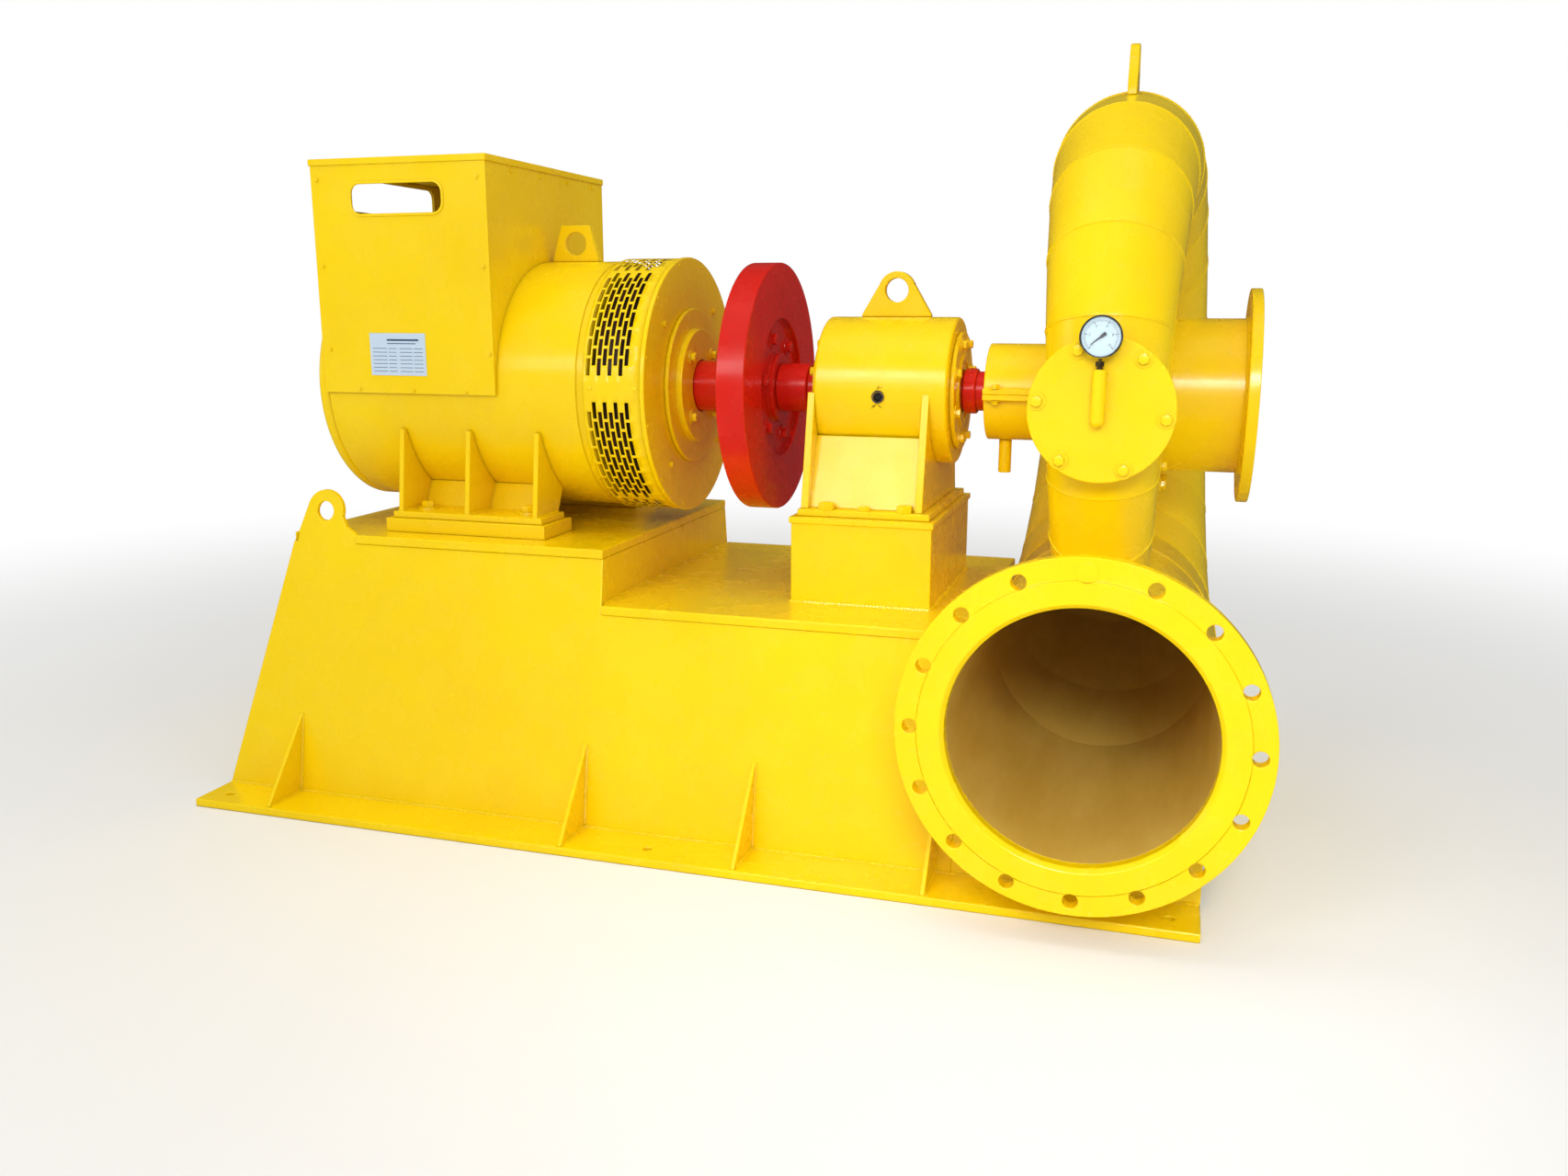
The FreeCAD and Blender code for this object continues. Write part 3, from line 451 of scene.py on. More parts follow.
def rolled_rim(mesh, across, up, corner, band, proud, place):
    """Rim rolled round a cable opening: a rounded frame standing proud of the sheet."""
    rim = bmesh.new()
    bmesh.ops.create_grid(rim, x_segments=1, y_segments=1, size=0.5)
    bmesh.ops.scale(rim, vec=(across + 2 * band, up + 2 * band, 1), verts=rim.verts)
    bmesh.ops.bevel(rim, geom=rim.verts[:], offset=corner + band, segments=8, profile=0.5, affect="VERTICES",
                    material=-1)
    frame_faces = bmesh.ops.inset_region(rim, faces=rim.faces[:], thickness=band, use_boundary=True,
                                          use_even_offset=True)["faces"]
    bmesh.ops.delete(rim, geom=[f for f in rim.faces if f not in frame_faces], context="FACES")
    raised = bmesh.ops.extrude_face_region(rim, geom=rim.faces[:])["geom"]
    bmesh.ops.translate(rim, vec=(0, 0, proud), verts=[v for v in raised if isinstance(v, bmesh.types.BMVert)])
    bmesh.ops.recalc_face_normals(rim, faces=rim.faces)
    lip = [e for e in rim.edges if all(v.co.z > proud / 2 for v in e.verts) and e.calc_face_angle(0.0) > 1.0]
    bmesh.ops.bevel(rim, geom=lip, offset=proud * 0.8, segments=3, profile=0.5, affect="EDGES", material=-1)
    bmesh.ops.transform(rim, matrix=place, verts=rim.verts)
    add_shape(mesh, rim)


SLOT_MID_X, SLOT_MID_Z, SLOT_ACROSS, SLOT_UP, SLOT_CORNER = -932.5, 1869.0, 315.0, 90.0, 30.0
WINDOW_MID_Z, WINDOW_ACROSS, WINDOW_UP = 1902.5, 560.0, 105.0
rims = bmesh.new()
for side in (-1, 1):
    rolled_rim(rims, SLOT_ACROSS - 3, SLOT_UP - 3, SLOT_CORNER, 9.0, 4.0,
               Matrix.Translation((SLOT_MID_X, side * box_high.y, SLOT_MID_Z)) @ Matrix.Rotation(radians(-90 * side),
                                                                                                 4, "X"))
rolled_rim(rims, WINDOW_ACROSS - 3, WINDOW_UP - 3, SLOT_CORNER, 9.0, 4.0,
           Matrix.Translation((box_low.x, 0, WINDOW_MID_Z)) @ Matrix.Rotation(radians(-90), 4, "Y")
           @ Matrix.Rotation(radians(90), 4, "Z"))
new_piece(rims, "cable_opening_rims", yellow_enamel)

FACE_SCREWS = ((-1208, 1928), (-654, 1924), (-1207, 1670), (-644, 1665), (-1202, 1415), (-636, 1407), (-1103, 1293),
               (-910, 1291), (-725, 1289))
SIDE_SCREWS = ((-250, 1955), (-60, 1955), (130, 1955), (320, 1955))
screws = bmesh.new()
for side in (-1, 1):
    for x, z in FACE_SCREWS:
        hex_bolt(screws, (x, side * box_high.y, z), (0, side, 0), 9.0, 4.0, washer=True, turned=x)
for x, away in ((box_low.x, -1), (box_high.x, 1)):
    for y, z in SIDE_SCREWS if away > 0 else ((-360, 1960), (0, 1962), (360, 1960), (-375, 1700), (375, 1700)):
        hex_bolt(screws, (x, y, z), (away, 0, 0), 9.0, 4.0, washer=True, turned=y)
new_piece(screws, "terminal_box_screws", yellow_enamel)

# ---------------------------------------------------------------- nameplate
# Thin anodised aluminium plate with a ruled, empty table, held by four round rivets.
anodised = new_material("anodised_aluminium")
# Clear anodised aluminium: a satin pale blue-grey with fine brushing along X, 0.3 mm lines drawn 2 mm apart.
place = add_node(anodised, "ShaderNodeTexCoord")
stretch = add_node(anodised, "ShaderNodeMapping", {"Scale": (4.0, 1.0, 500.0)}, {"Vector": (place, "Object")})
brushing = add_node(anodised, "ShaderNodeTexNoise", {"Scale": 1.0, "Detail": 2.0}, {"Vector": (stretch, "Vector")})
shade = add_node(anodised, "ShaderNodeMix", {6: linear("C0D6EC"), 7: linear("D6E5F4")}, {0: (brushing, "Fac")},
                 data_type="RGBA")
shader = add_node(anodised, "ShaderNodeBsdfPrincipled", {"Metallic": 0.1, "Roughness": 0.38},
                  {"Base Color": (shade, 2)})
add_node(anodised, "ShaderNodeOutputMaterial", links={"Surface": (shader, "BSDF")})
ground_and_painted("nameplate", 0.4, anodised, "nameplate")


def plain_finish(name, colour, worn, grain, **sockets):
    """A finish with a slight change of shade every grain metres; sockets are the shader's own values."""
    material = new_material(name)
    place = add_node(material, "ShaderNodeTexCoord")
    speckle = add_node(material, "ShaderNodeTexNoise", {"Scale": 1 / grain, "Detail": 3.0},
                       {"Vector": (place, "Object")})
    shade = add_node(material, "ShaderNodeMix", {6: linear(colour), 7: linear(worn)}, {0: (speckle, "Fac")},
                     data_type="RGBA")
    shader = add_node(material, "ShaderNodeBsdfPrincipled", {k.replace("_", " "): v for k, v in sockets.items()},
                      {"Base Color": (shade, 2)})
    add_node(material, "ShaderNodeOutputMaterial", links={"Surface": (shader, "BSDF")})
    return material


printing_ink = plain_finish("etched_ink", "39506B", "4B6380", 0.004, Roughness=0.5)
plate_low, plate_high = corners("nameplate")


def flat_bar(mesh, low, high):
    """Square-edged bar between two corners."""
    low, high = Vector(low), Vector(high)
    size = high - low
    bmesh.ops.create_cube(mesh, size=1.0, matrix=Matrix.Translation((low + high) / 2) @ Matrix.Diagonal((*size, 1)))


ruling = bmesh.new()
TABLE_ROWS = 7
row_height = (plate_high.z - plate_low.z - 48) / TABLE_ROWS
for row in range(TABLE_ROWS):
    z = plate_low.z + 12 + row_height * row
    for left, right in ((10, 60), (66, 94), (106, 150), (156, 188)):
        flat_bar(ruling, (plate_low.x + left, plate_low.y - 0.3, z),
                 (plate_low.x + right, plate_low.y + 0.3, z + 1.6))
flat_bar(ruling, (plate_low.x + 62, plate_low.y - 0.3, plate_high.z - 24),
         (plate_high.x - 24, plate_low.y + 0.3, plate_high.z - 18))
flat_bar(ruling, (plate_low.x + 62, plate_low.y - 0.3, plate_high.z - 33),
         (plate_high.x - 34, plate_low.y + 0.3, plate_high.z - 30.5))
new_piece(ruling, "nameplate_ruling", printing_ink, slot="nameplate")
rivets = bmesh.new()
for x in (plate_low.x + 5, plate_high.x - 5):
    for z in (plate_low.z + 5, plate_high.z - 5):
        round_screw(rivets, (x, plate_low.y, z), (0, -1, 0), 2.6, 1.2)
new_piece(rivets, "nameplate_rivets", anodised, slot="nameplate")

# ---------------------------------------------------------------- bearing pedestal
# A welded box with a thick top plate carries the bearing foot. Two flame-cut cheeks and sloping aprons
# hold the turned housing, and its end covers are bolted on over the roller bearings.
ground_and_painted("bearing_pedestal", 2.5)
ground_and_painted("bearing_foot_plate", 2.5)
ground_and_painted("bearing_support", 2.0)
ground_and_painted("bearing_housing", 9.0, rounds=4)
ground_and_painted("bearing_end_covers", 3.0)
ground_and_painted("bearing_lifting_lug", 3.0)
ped_low, ped_high = corners("bearing_pedestal")
PED_LIP = 6.0
welds = bmesh.new()
for side in (-1, 1):
    y = side * (ped_high.y - PED_LIP)
    straight_weld(welds, (ped_low.x + PED_LIP, y, ped_low.z), (ped_high.x - PED_LIP, y, ped_low.z), 7.0)
for x in (ped_low.x + PED_LIP, ped_high.x - PED_LIP):
    straight_weld(welds, (x, ped_low.y + PED_LIP, ped_low.z), (x, ped_high.y - PED_LIP, ped_low.z), 7.0)
new_piece(welds, "pedestal_fillet_welds", yellow_enamel)

plate_top = corners("bearing_foot_plate")[1].z
bolts = bmesh.new()
for side in (-1, 1):
    for x, across, head in ((398, 44, 20), (513, 34, 12), (634, 44, 20)):
        hex_bolt(bolts, (x, side * 287, plate_top), (0, 0, 1), across, head, washer=False, turned=0)
new_piece(bolts, "bearing_foot_bolts", yellow_enamel)

cover_low, cover_high = corners("bearing_end_covers")
bolts = bmesh.new()
rings = bmesh.new()
for x, away in ((cover_low.x, -1), (cover_high.x, 1)):
    for number in range(8):
        hex_bolt(bolts, on_face(x, 150, 22.5 + 45 * number), (away, 0, 0), 22, 13, turned=7 * number)
    turned_part(rings, [(x - 1 * away, 86), (x + 3 * away, 86), (x + 4 * away, 88), (x + 4 * away, 112),
                        (x + 3 * away, 114), (x - 1 * away, 114)])
new_piece(bolts, "bearing_cover_bolts", yellow_enamel)
new_piece(rings, "bearing_cover_rings", yellow_enamel)

bright_steel = plain_finish("bright_turned_steel", "B9BABD", "D3D4D6", 0.02, Metallic=1.0, Roughness=0.24)
housing_low = corners("bearing_housing")[0]
OIL_X, OIL_Z, OIL_R = 533.0, 1290.0, 13.0
collar = bmesh.new()
turned_part(collar, [(-6, OIL_R + 0.3), (2.5, OIL_R + 0.3), (3.5, OIL_R + 1.5), (3.5, OIL_R + 5), (2.5, OIL_R + 6),
                     (-6, OIL_R + 6)],
            (OIL_X, housing_low.y, OIL_Z), (0, -1, 0), 40)
new_piece(collar, "oil_hole_collar", bright_steel)
black_rubber = plain_finish("black_nitrile_rubber", "0B0B0C", "17171A", 0.01, Roughness=0.6)
plug = bmesh.new()
turned_part(plug, [(-20, 0.0), (-20, OIL_R - 1), (-5, OIL_R - 1), (-3, OIL_R - 4), (-3, 0.0)],
            (OIL_X, housing_low.y, OIL_Z), (0, -1, 0), 40)
new_piece(plug, "oil_hole_plug", black_rubber)

# ---------------------------------------------------------------- rotor
# Forged shafts and a solid cast-steel flywheel between the generator and the bearing, all in red gloss
# enamel. The flywheel is bolted to the coupling flanges through its web.
# The last colour is the painted shade in corners and crevices
red_enamel = gloss_enamel("red_gloss_enamel", "DC1E0E", "C8170A", "4A0A05")
for node, edge in (("generator_shaft", 2.0), ("flywheel", 3.0), ("turbine_shaft", 3.0), ("oil_slinger", 5.0)):
    ground_and_painted(node, edge, red_enamel, "red_rotor", "rotor")
wheel_low, wheel_high = corners("flywheel")
WEB_DEPTH = 18.0
bolts = bmesh.new()
for x, away in ((wheel_low.x + WEB_DEPTH, -1), (wheel_high.x - WEB_DEPTH, 1)):
    for number in range(6):
        hex_bolt(bolts, on_face(x, 160, 10 + 60 * number), (away, 0, 0), 30, 14, turned=60 * number + 10)
new_piece(bolts, "flywheel_bolts", red_enamel, slot="red_rotor", body="rotor")

# ---------------------------------------------------------------- shaft seal
# Split cast housing on the head cover, its halves held by bolts through the joint flange, with a
# short drain pipe underneath.
ground_and_painted("shaft_seal_upper", 3.0)
ground_and_painted("shaft_seal_lower", 3.0)
ground_and_painted("seal_drain_pipe", 2.0)
SEAL_FLANGE = 17.0
bolts = bmesh.new()
for side in (-1, 1):
    for x in (868.0, 1005.0):
        for up in (-1, 1):
            hex_bolt(bolts, (x, side * 156, DRUM_AXIS + up * SEAL_FLANGE), (0, 0, up), 19, 10, turned=15)
new_piece(bolts, "seal_flange_bolts", yellow_enamel)

# ---------------------------------------------------------------- spiral casing
# The spiral is made of short cones of 8 mm plate, mitred and butt welded every 18 degrees round the
# runner chamber, and painted yellow outside. The water side keeps its brown primer.
brown_primer = new_material("brown_iron_oxide_primer")
# Matt iron-oxide primer brushed on bare plate: ochre brown, darker in streaks along the pipe, with grit every 6 mm.
place = add_node(brown_primer, "ShaderNodeTexCoord")
streaks = add_node(brown_primer, "ShaderNodeMapping", {"Scale": (7.0, 1.6, 7.0)}, {"Vector": (place, "Object")})
brushed = add_node(brown_primer, "ShaderNodeTexNoise", {"Scale": 1.0, "Detail": 6.0, "Roughness": 0.65},
                   {"Vector": (streaks, "Vector")})
spread = add_node(brown_primer, "ShaderNodeMapRange", {"From Min": 0.35, "From Max": 0.65},
                  {"Value": (brushed, "Fac")})
shade = add_node(brown_primer, "ShaderNodeMix", {6: linear("CFA842"), 7: linear("DDBA5A")}, {0: (spread, "Result")},
                 data_type="RGBA")
grit = add_node(brown_primer, "ShaderNodeTexNoise", {"Scale": 1 / 0.006, "Detail": 2.0},
                {"Vector": (place, "Object")})
rough = add_node(brown_primer, "ShaderNodeBump", {"Distance": 0.0004}, {"Height": (grit, "Fac")})
shader = add_node(brown_primer, "ShaderNodeBsdfPrincipled", {"Roughness": 0.5},
                  {"Base Color": (shade, 2), "Normal": (rough, "Normal")})
add_node(brown_primer, "ShaderNodeOutputMaterial", links={"Surface": (shader, "BSDF")})

TURBINE_X = 1202.0
SPIRAL_INNER = 432.0
MITRE = 18
NARROW_END, INLET_END = -54, 270


def tube_radius(angle):
    """Outer radius of the spiral at an angle from the inlet side, through the top, round to the bottom."""
    if angle < 0:
        return 146.0 + 0.3 * angle
    return 146.0 + 0.64 * angle + 13.0 * (angle / INLET_END) ** 7


def tube_heart(angle):
    reach = SPIRAL_INNER + tube_radius(angle)
    return Vector((TURBINE_X, -reach * cos(radians(angle)), DRUM_AXIS + reach * sin(radians(angle))))


def faces_spiral_heart(face):
    """True for a face of the water side."""
    middle = face.center / MM
    angle = degrees(atan2(middle.z - DRUM_AXIS, -middle.y))
    if angle < -90:
        angle += 360
    angle = min(max(angle, NARROW_END), INLET_END - 0.01)
    first = NARROW_END + MITRE * int((angle - NARROW_END) // MITRE)
    near = geometry.intersect_point_line(middle, tube_heart(first), tube_heart(first + MITRE))[0]
    return face.normal.dot(middle - near) < 0


def primed_inside(piece, looks_in):
    """Gives the faces of the water side the bare primer."""
    piece.data.materials.append(brown_primer)
    for face in piece.data.polygons:
        if looks_in(face):
            face.material_index = 1


for number in range(1, 7):
    section = ground_and_painted("casing_section_%d" % number, 1.0, crease=12.0, rounds=1)
    primed_inside(section, faces_spiral_heart)


def ring_weld(mesh, centre, axis, radius, leg):
    """Butt weld round a pipe: a rippled ring half sunk in the plate, kept inside the casing's own outline."""
    axis = Vector(axis).normalized()
    centre = Vector(centre)
    out = axis.orthogonal().normalized()
    other = axis.cross(out)
    ring = bmesh.new()
    bmesh.ops.create_circle(ring, cap_ends=False, radius=leg, segments=BEAD_SIDES,
                            matrix=seated(centre + out * radius, other))
    bmesh.ops.spin(ring, geom=ring.verts[:] + ring.edges[:], cent=centre, axis=axis, angle=2 * pi,
                   steps=int(2 * pi * radius / leg), use_merge=True)
    rippled(ring.verts, leg, 3 * leg,
            lambda p: radius * atan2((p - centre).dot(other), (p - centre).dot(out)),
            lambda p: centre + ((p - centre) - axis * (p - centre).dot(axis)).normalized() * radius)
    for vertex in ring.verts:
        vertex.co.y = min(max(vertex.co.y, cad_low.y / MM), cad_high.y / MM)
    add_shape(mesh, ring)


BEAD = 4.5
welds = bmesh.new()
for angle in range(NARROW_END + MITRE, INLET_END + 1, MITRE):
    turn = radians(angle)
    ring_weld(welds, tube_heart(angle), (0, sin(turn), cos(turn)), tube_radius(angle) - 0.5 * BEAD, BEAD)
new_piece(welds, "casing_mitre_welds", yellow_enamel)

ground_and_painted("runner_chamber", 2.0)
ground_and_painted("turbine_side_covers", 3.0)
ground_and_painted("casing_lifting_lug", 3.0)
head_low, head_high = corners("turbine_side_covers")
bolts = bmesh.new()
for number in range(16):
    hex_bolt(bolts, on_face(head_low.x, 303, 11.25 + 22.5 * number), (-1, 0, 0), 24, 14, turned=5 * number)
for number in range(12):
    hex_bolt(bolts, on_face(head_high.x, 262, 15 + 30 * number), (1, 0, 0), 24, 14, turned=5 * number)
new_piece(bolts, "side_cover_bolts", yellow_enamel)

# ---------------------------------------------------------------- outlet pipe
# Short rolled pipe with a flat welded flange for the draft tube bend.
ground_and_painted("outlet_flange", 2.5)
outlet = ground_and_painted("outlet_pipe", 1.0)


def faces_shaft(face):
    middle = face.center / MM
    return face.normal.y * middle.y + face.normal.z * (middle.z - DRUM_AXIS) < 0


primed_inside(outlet, faces_shaft)
out_low, out_high = corners("outlet_pipe")
welds = bmesh.new()
ring_weld(welds, (out_low.x, 0, DRUM_AXIS), (1, 0, 0), out_high.y, 6.0)
ring_weld(welds, (out_high.x, 0, DRUM_AXIS), (1, 0, 0), out_high.y, 6.0)
new_piece(welds, "outlet_fillet_welds", yellow_enamel)

# ---------------------------------------------------------------- inlet pipe and flange
# Rolled pipe that runs straight into the wide end of the spiral, with a drilled flange whose raised
# face meets the inlet valve. The top hole is still closed by a round-headed transport plug.
inlet_low, inlet_high = corners("inlet_pipe")
INLET_R = (inlet_high.x - inlet_low.x) / 2
INLET_Z = (inlet_high.z + inlet_low.z) / 2
flange_low, flange_high = corners("inlet_flange")
MOUTH_R = 345.0


def faces_inlet_axis(face):
    middle = face.center / MM
    across, up = middle.x - TURBINE_X, middle.z - INLET_Z
    away = (across ** 2 + up ** 2) ** 0.5
    return away < MOUTH_R and face.normal.x * across + face.normal.z * up < -0.5 * away


primed_inside(ground_and_painted("inlet_pipe", 1.0), faces_inlet_axis)
ground_and_painted("inlet_flange", 2.0)
welds = bmesh.new()
ring_weld(welds, (TURBINE_X, flange_high.y, INLET_Z), (0, 1, 0), INLET_R, 8.0)
new_piece(welds, "inlet_flange_weld", yellow_enamel)
HOLE_CIRCLE_R = 409.0
plug = bmesh.new()
turned_part(plug, [(-30, 0.0), (-30, 18.5), (-3, 18.5), (-1, 26.0), (1.7, 25.6), (2.0, 24.6), (2.0, 0.0)],
            (TURBINE_X, flange_low.y + 2.0, INLET_Z + HOLE_CIRCLE_R), (0, -1, 0), 40)
new_piece(plug, "inlet_flange_plug", yellow_enamel)

# ---------------------------------------------------------------- hand hatch
# A blank cover on a short neck lets the runner be reached. Six hex bolts hold it.
ground_and_painted("hatch_neck", 1.0)
ground_and_painted("hatch_cover", 2.5)
hatch_low, hatch_high = corners("hatch_cover")
HATCH_Z = (hatch_low.z + hatch_high.z) / 2
bolts = bmesh.new()
for angle in (113, 53, -7, -67, -127, 173):
    spot = (TURBINE_X + 153 * cos(radians(angle)), hatch_low.y, HATCH_Z + 153 * sin(radians(angle)))
    hex_bolt(bolts, spot, (0, -1, 0), 24, 13, turned=angle)
new_piece(bolts, "hatch_bolts", yellow_enamel)

# ---------------------------------------------------------------- pressure gauge
# Dial gauge in a polished steel case, screwed by its brass stem into a painted riser pipe on the hatch.
ground_and_painted("gauge_pipe", 3.0, rounds=3)
gauge_low, gauge_high = corners("pressure_gauge")
GAUGE_R = (gauge_high.x - gauge_low.x) / 2
GAUGE_X = (gauge_high.x + gauge_low.x) / 2
GAUGE_Z = gauge_high.z - GAUGE_R
polished_steel = plain_finish("polished_stainless_steel", "C6C8CB", "DFE0E2", 0.03, Metallic=1.0, Roughness=0.12)
dial_paint = plain_finish("white_stoved_dial_paint", "C2DCE9", "D0E5EF", 0.02, Roughness=0.45)
dial_black = plain_finish("matt_black_dial_ink", "11171B", "1A2126", 0.003, Roughness=0.5)
brass = plain_finish("turned_brass", "B79A5B", "D2BA7E", 0.006, Metallic=1.0, Roughness=0.22)
gauge_axis = (GAUGE_X, gauge_low.y, GAUGE_Z)

case = bmesh.new()
turned_part(case, [(-34, 0.0), (-34, 40), (-31, 45), (-8, 46), (-7, 48), (-6, GAUGE_R - 0.5), (-1.5, GAUGE_R),
                   (0, GAUGE_R - 1.5),
                   (-0.2, GAUGE_R - 4), (-2.0, GAUGE_R - 5.5), (-6, GAUGE_R - 6), (-6, 0.0)], gauge_axis, (0, -1, 0),
                   72)
case_piece = new_piece(case, "gauge_case", polished_steel, slot="gauge")
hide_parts("pressure_gauge")

dial = bmesh.new()
DIAL_BACK, DIAL_FRONT = -6.2, -5.0
turned_part(dial, [(DIAL_BACK, 0.0), (DIAL_BACK, GAUGE_R - 6), (DIAL_FRONT, GAUGE_R - 6), (DIAL_FRONT, 0.0)],
            gauge_axis, (0, -1, 0), 72)
new_piece(dial, "gauge_dial", dial_paint, slot="gauge")


def on_dial(radius, turn, proud):
    """Point on the dial at a clock angle in degrees, 0 up and clockwise."""
    return Vector((GAUGE_X + radius * sin(radians(turn)), gauge_low.y - DIAL_FRONT - proud,
                   GAUGE_Z + radius * cos(radians(turn))))


SCALE_START, SCALE_SWEEP = -135.0, 270.0
marks = bmesh.new()
for number in range(51):
    turn = SCALE_START + SCALE_SWEEP * number / 50
    long_mark = number % 10 == 0
    inner, half = (32.0, 0.75) if long_mark else (36.0 if number % 5 else 34.0, 0.4)
    middle = on_dial((inner + 40.5) / 2, turn, 0.15)
    size = Matrix.Diagonal((2 * half, 0.3, 40.5 - inner, 1))
    bmesh.ops.create_cube(marks, size=1.0,
                          matrix=Matrix.Translation(middle) @ Matrix.Rotation(radians(turn), 4, "Y") @ size)
for number in range(6):
    text = bpy.data.curves.new("numeral", "FONT")
    text.body = str(2 * number)
    text.align_x = "CENTER"
    text.align_y = "CENTER"
    text.size = 8.5
    text.extrude = 0.15
    numeral = bpy.data.objects.new("numeral", text)
    shape = bpy.data.meshes.new_from_object(numeral)
    shape.transform(Matrix.Translation(on_dial(27.0, SCALE_START + SCALE_SWEEP * number / 5,
                                               0.15)) @ Matrix.Rotation(radians(90), 4, "X"))
    marks.from_mesh(shape)
    bpy.data.objects.remove(numeral)
    bpy.data.curves.remove(text)
    bpy.data.meshes.remove(shape)
new_piece(marks, "gauge_marks", dial_black, slot="gauge")

needle = bmesh.new()
NEEDLE_TURN = 232.0
for tip, tail, width in ((32.0, -2.0, 3.2), (-2.0, -14.0, 5.6)):
    middle = on_dial((tip + tail) / 2, NEEDLE_TURN, 1.6)
    bmesh.ops.create_cone(needle, cap_ends=True, segments=4, radius1=width, radius2=width * (0.3 if tip > 0 else 1.0),
                          depth=tip - tail,
                          matrix=Matrix.Translation(middle) @ Matrix.Rotation(radians(NEEDLE_TURN), 4,
                                                                              "Y") @ Matrix.Diagonal((1, 0.25, 1, 1))
                          @ Matrix.Rotation(radians(45), 4, "Z"))
turned_part(needle, [(DIAL_FRONT - 0.5, 0.0), (DIAL_FRONT - 0.5, 3.4), (DIAL_FRONT + 2.6, 3.2),
                     (DIAL_FRONT + 3.2, 0.0)], gauge_axis, (0, -1, 0), 24)
new_piece(needle, "gauge_needle", dial_black, slot="gauge")

glass = new_material("gauge_glass")
# Flat 3 mm float glass, seen through nearly straight, so only a thin sheet of its shine is drawn.
place = add_node(glass, "ShaderNodeTexCoord")
smear = add_node(glass, "ShaderNodeTexNoise", {"Scale": 40.0, "Detail": 3.0}, {"Vector": (place, "Object")})
film = add_node(glass, "ShaderNodeMapRange", {"To Min": 0.02, "To Max": 0.1}, {"Value": (smear, "Fac")})
shader = add_node(glass, "ShaderNodeBsdfPrincipled", {"Base Color": linear("F4FAFC"), "IOR": 1.45, "Alpha": 0.05},
                  {"Roughness": (film, "Result")})
add_node(glass, "ShaderNodeOutputMaterial", links={"Surface": (shader, "BSDF")})
pane = bmesh.new()
turned_part(pane, [(-1.6, 0.0), (-1.6, GAUGE_R - 5.2), (-1.1, GAUGE_R - 5.2), (-1.1, 0.0)], gauge_axis, (0, -1, 0),
            48)
new_piece(pane, "gauge_window", glass, slot="gauge")

stem = bmesh.new()
pipe_top = corners("gauge_pipe")[1].z
stem_at = (GAUGE_X, (gauge_low.y + gauge_high.y) / 2, 0)
turned_part(stem, [(pipe_top - 6, 0.0), (pipe_top - 6, 7.5), (pipe_top + 8, 7.5), (pipe_top + 8, 5.5),
                   (GAUGE_Z - 40, 5.5), (GAUGE_Z - 40, 0.0)],
            stem_at, (0, 0, 1), 24)
bmesh.ops.create_cone(stem, cap_ends=True, segments=6, radius1=11.5, radius2=11.5, depth=12,
                            matrix=Matrix.Translation((GAUGE_X, stem_at[1], pipe_top + 13)))
bmesh.ops.create_cone(stem, cap_ends=True, segments=20, radius1=9.0, radius2=9.0, depth=5,
                      matrix=Matrix.Translation((GAUGE_X, stem_at[1], pipe_top + 3)))
new_piece(stem, "gauge_stem", brass, slot="gauge")

# ---------------------------------------------------------------- studio
# Plain pale floor that runs out of sight, soft lights and the camera. None of it is part of the set.
floor_paint = plain_finish("pale_studio_floor", "F2F2F0", "F6F6F4", 1.5, Roughness=0.7)
# The floor pales into the backdrop from 1.8 m to 7 m out
place = add_node(floor_paint, "ShaderNodeTexCoord")
distance = add_node(floor_paint, "ShaderNodeVectorMath", links={0: (place, "Object")}, operation="LENGTH")
paling = add_node(floor_paint, "ShaderNodeMapRange", {"From Min": 1.8, "From Max": 7.0},
                  {"Value": (distance, "Value")},
                  interpolation_type="SMOOTHSTEP")
white = add_node(floor_paint, "ShaderNodeEmission", {"Color": linear("FFFFFF")})
painted = floor_paint.node_tree.nodes["Principled BSDF"]
blend = add_node(floor_paint, "ShaderNodeMixShader",
                 links={0: (paling, "Result"), 1: (painted, "BSDF"), 2: (white, "Emission")})
floor_paint.node_tree.links.new(blend.outputs["Shader"],
                                floor_paint.node_tree.nodes["Material Output"].inputs["Surface"])
floor_mesh = bmesh.new()
bmesh.ops.create_grid(floor_mesh, x_segments=1, y_segments=1, size=30.0)
floor_data = bpy.data.meshes.new("studio_floor")
floor_mesh.to_mesh(floor_data)
floor_mesh.free()
floor = bpy.data.objects.new("studio_floor", floor_data)
bpy.context.scene.collection.objects.link(floor)
floor_data.materials.append(floor_paint)
floor.visible_glossy = False

world = bpy.data.worlds.new("studio")
world.use_nodes = True
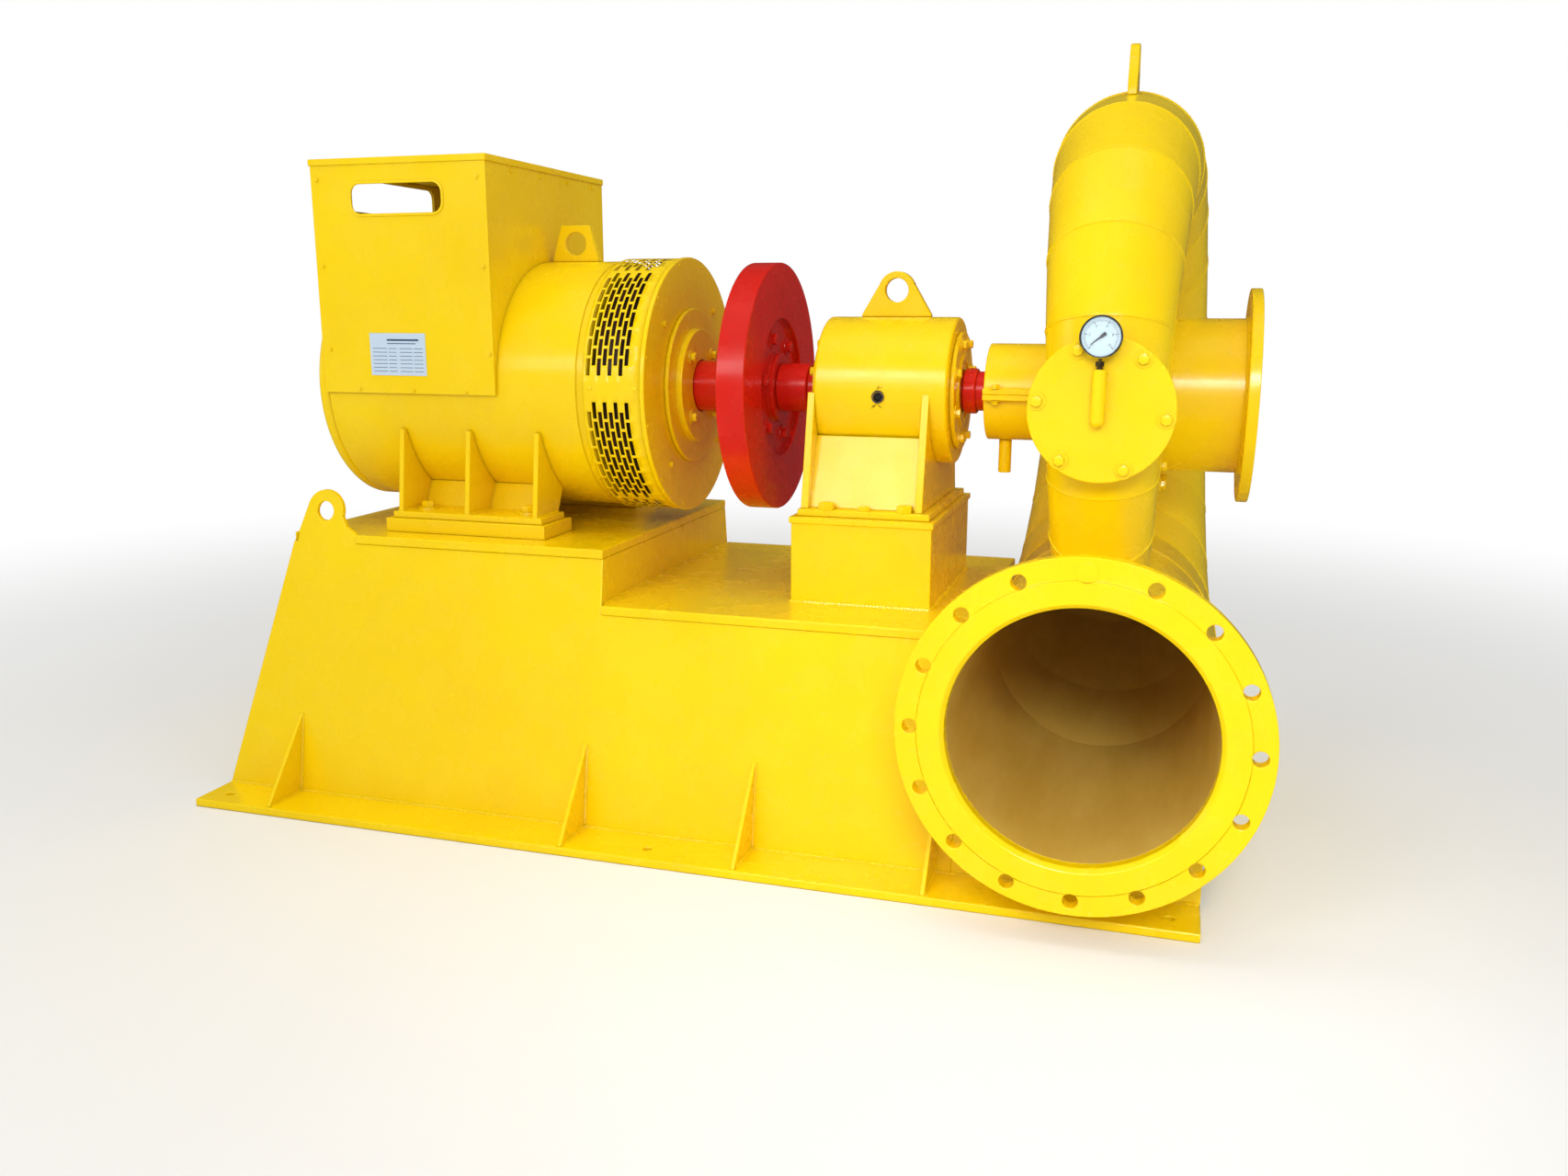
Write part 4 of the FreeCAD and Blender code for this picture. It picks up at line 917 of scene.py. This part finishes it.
# The room lights the set at SKY and shows white behind it; only the lamps are bright in the enamel's gloss
SKY = 0.6
ROOM_IN_GLOSS = 0.06
backdrop = world.node_tree.nodes["Background"]
backdrop.inputs["Color"].default_value = linear("FFFFFF")
seen = add_node(world, "ShaderNodeLightPath")
room = add_node(world, "ShaderNodeMapRange", {"To Min": SKY, "To Max": ROOM_IN_GLOSS},
                {"Value": (seen, "Is Glossy Ray")})
level = add_node(world, "ShaderNodeMapRange", {"To Max": 1.0},
                 {"Value": (seen, "Is Camera Ray"), "To Min": (room, "Result")})
world.node_tree.links.new(level.outputs["Result"], backdrop.inputs["Strength"])
bpy.context.scene.world = world
bpy.context.scene.view_settings.view_transform = "Standard"


def soft_light(name, place, aim, across, up, watts, in_gloss=True, beam=180.0):
    lamp = bpy.data.lights.new(name, "AREA")
    lamp.shape = "RECTANGLE"
    lamp.size = across
    lamp.size_y = up
    lamp.energy = watts
    lamp.spread = radians(beam)
    light = bpy.data.objects.new(name, lamp)
    light.location = place
    light.visible_glossy = in_gloss
    light.rotation_euler = (Vector(aim) - Vector(place)).to_track_quat("-Z", "Y").to_euler()
    bpy.context.scene.collection.objects.link(light)


soft_light("front_window", (-1.0, -7.5, 4.0), (0.0, 0.0, 1.1), 7.0, 1.6, 105)
soft_light("overhead", (0.0, -1.0, 6.0), (0.0, 0.0, 1.0), 6.0, 3.0, 100, in_gloss=False)
soft_light("left_fill", (-6.5, -2.5, 2.6), (0.0, 0.0, 1.0), 3.0, 2.5, 20)
soft_light("apron_lamp", (-0.62, -4.43, 3.55), (0.51, -0.23, 1.06), 1.0, 0.9, 20)
soft_light("inlet_lamp", (2.0, -5.4, 3.3), (1.2, -0.6, 0.3), 1.6, 1.2, 9, beam=40.0)

camera_data = bpy.data.cameras.new("camera")
camera_data.sensor_fit = "HORIZONTAL"
camera_data.sensor_width = 36.0
camera_data.lens = 29.203
camera_data.clip_end = 200.0
camera = bpy.data.objects.new("camera", camera_data)
right = Vector((0.95598057, 0.29342349, 0.00195061))
upward = Vector((-0.0640908, 0.20231299, 0.97722148))
back = Vector((0.28634511, -0.93432976, 0.21221304))
turn = Matrix((right, upward, back)).transposed().to_4x4()
camera.matrix_world = Matrix.Translation((1.3757, -3.9058, 1.5346)) @ turn
bpy.context.scene.collection.objects.link(camera)
bpy.context.scene.camera = camera
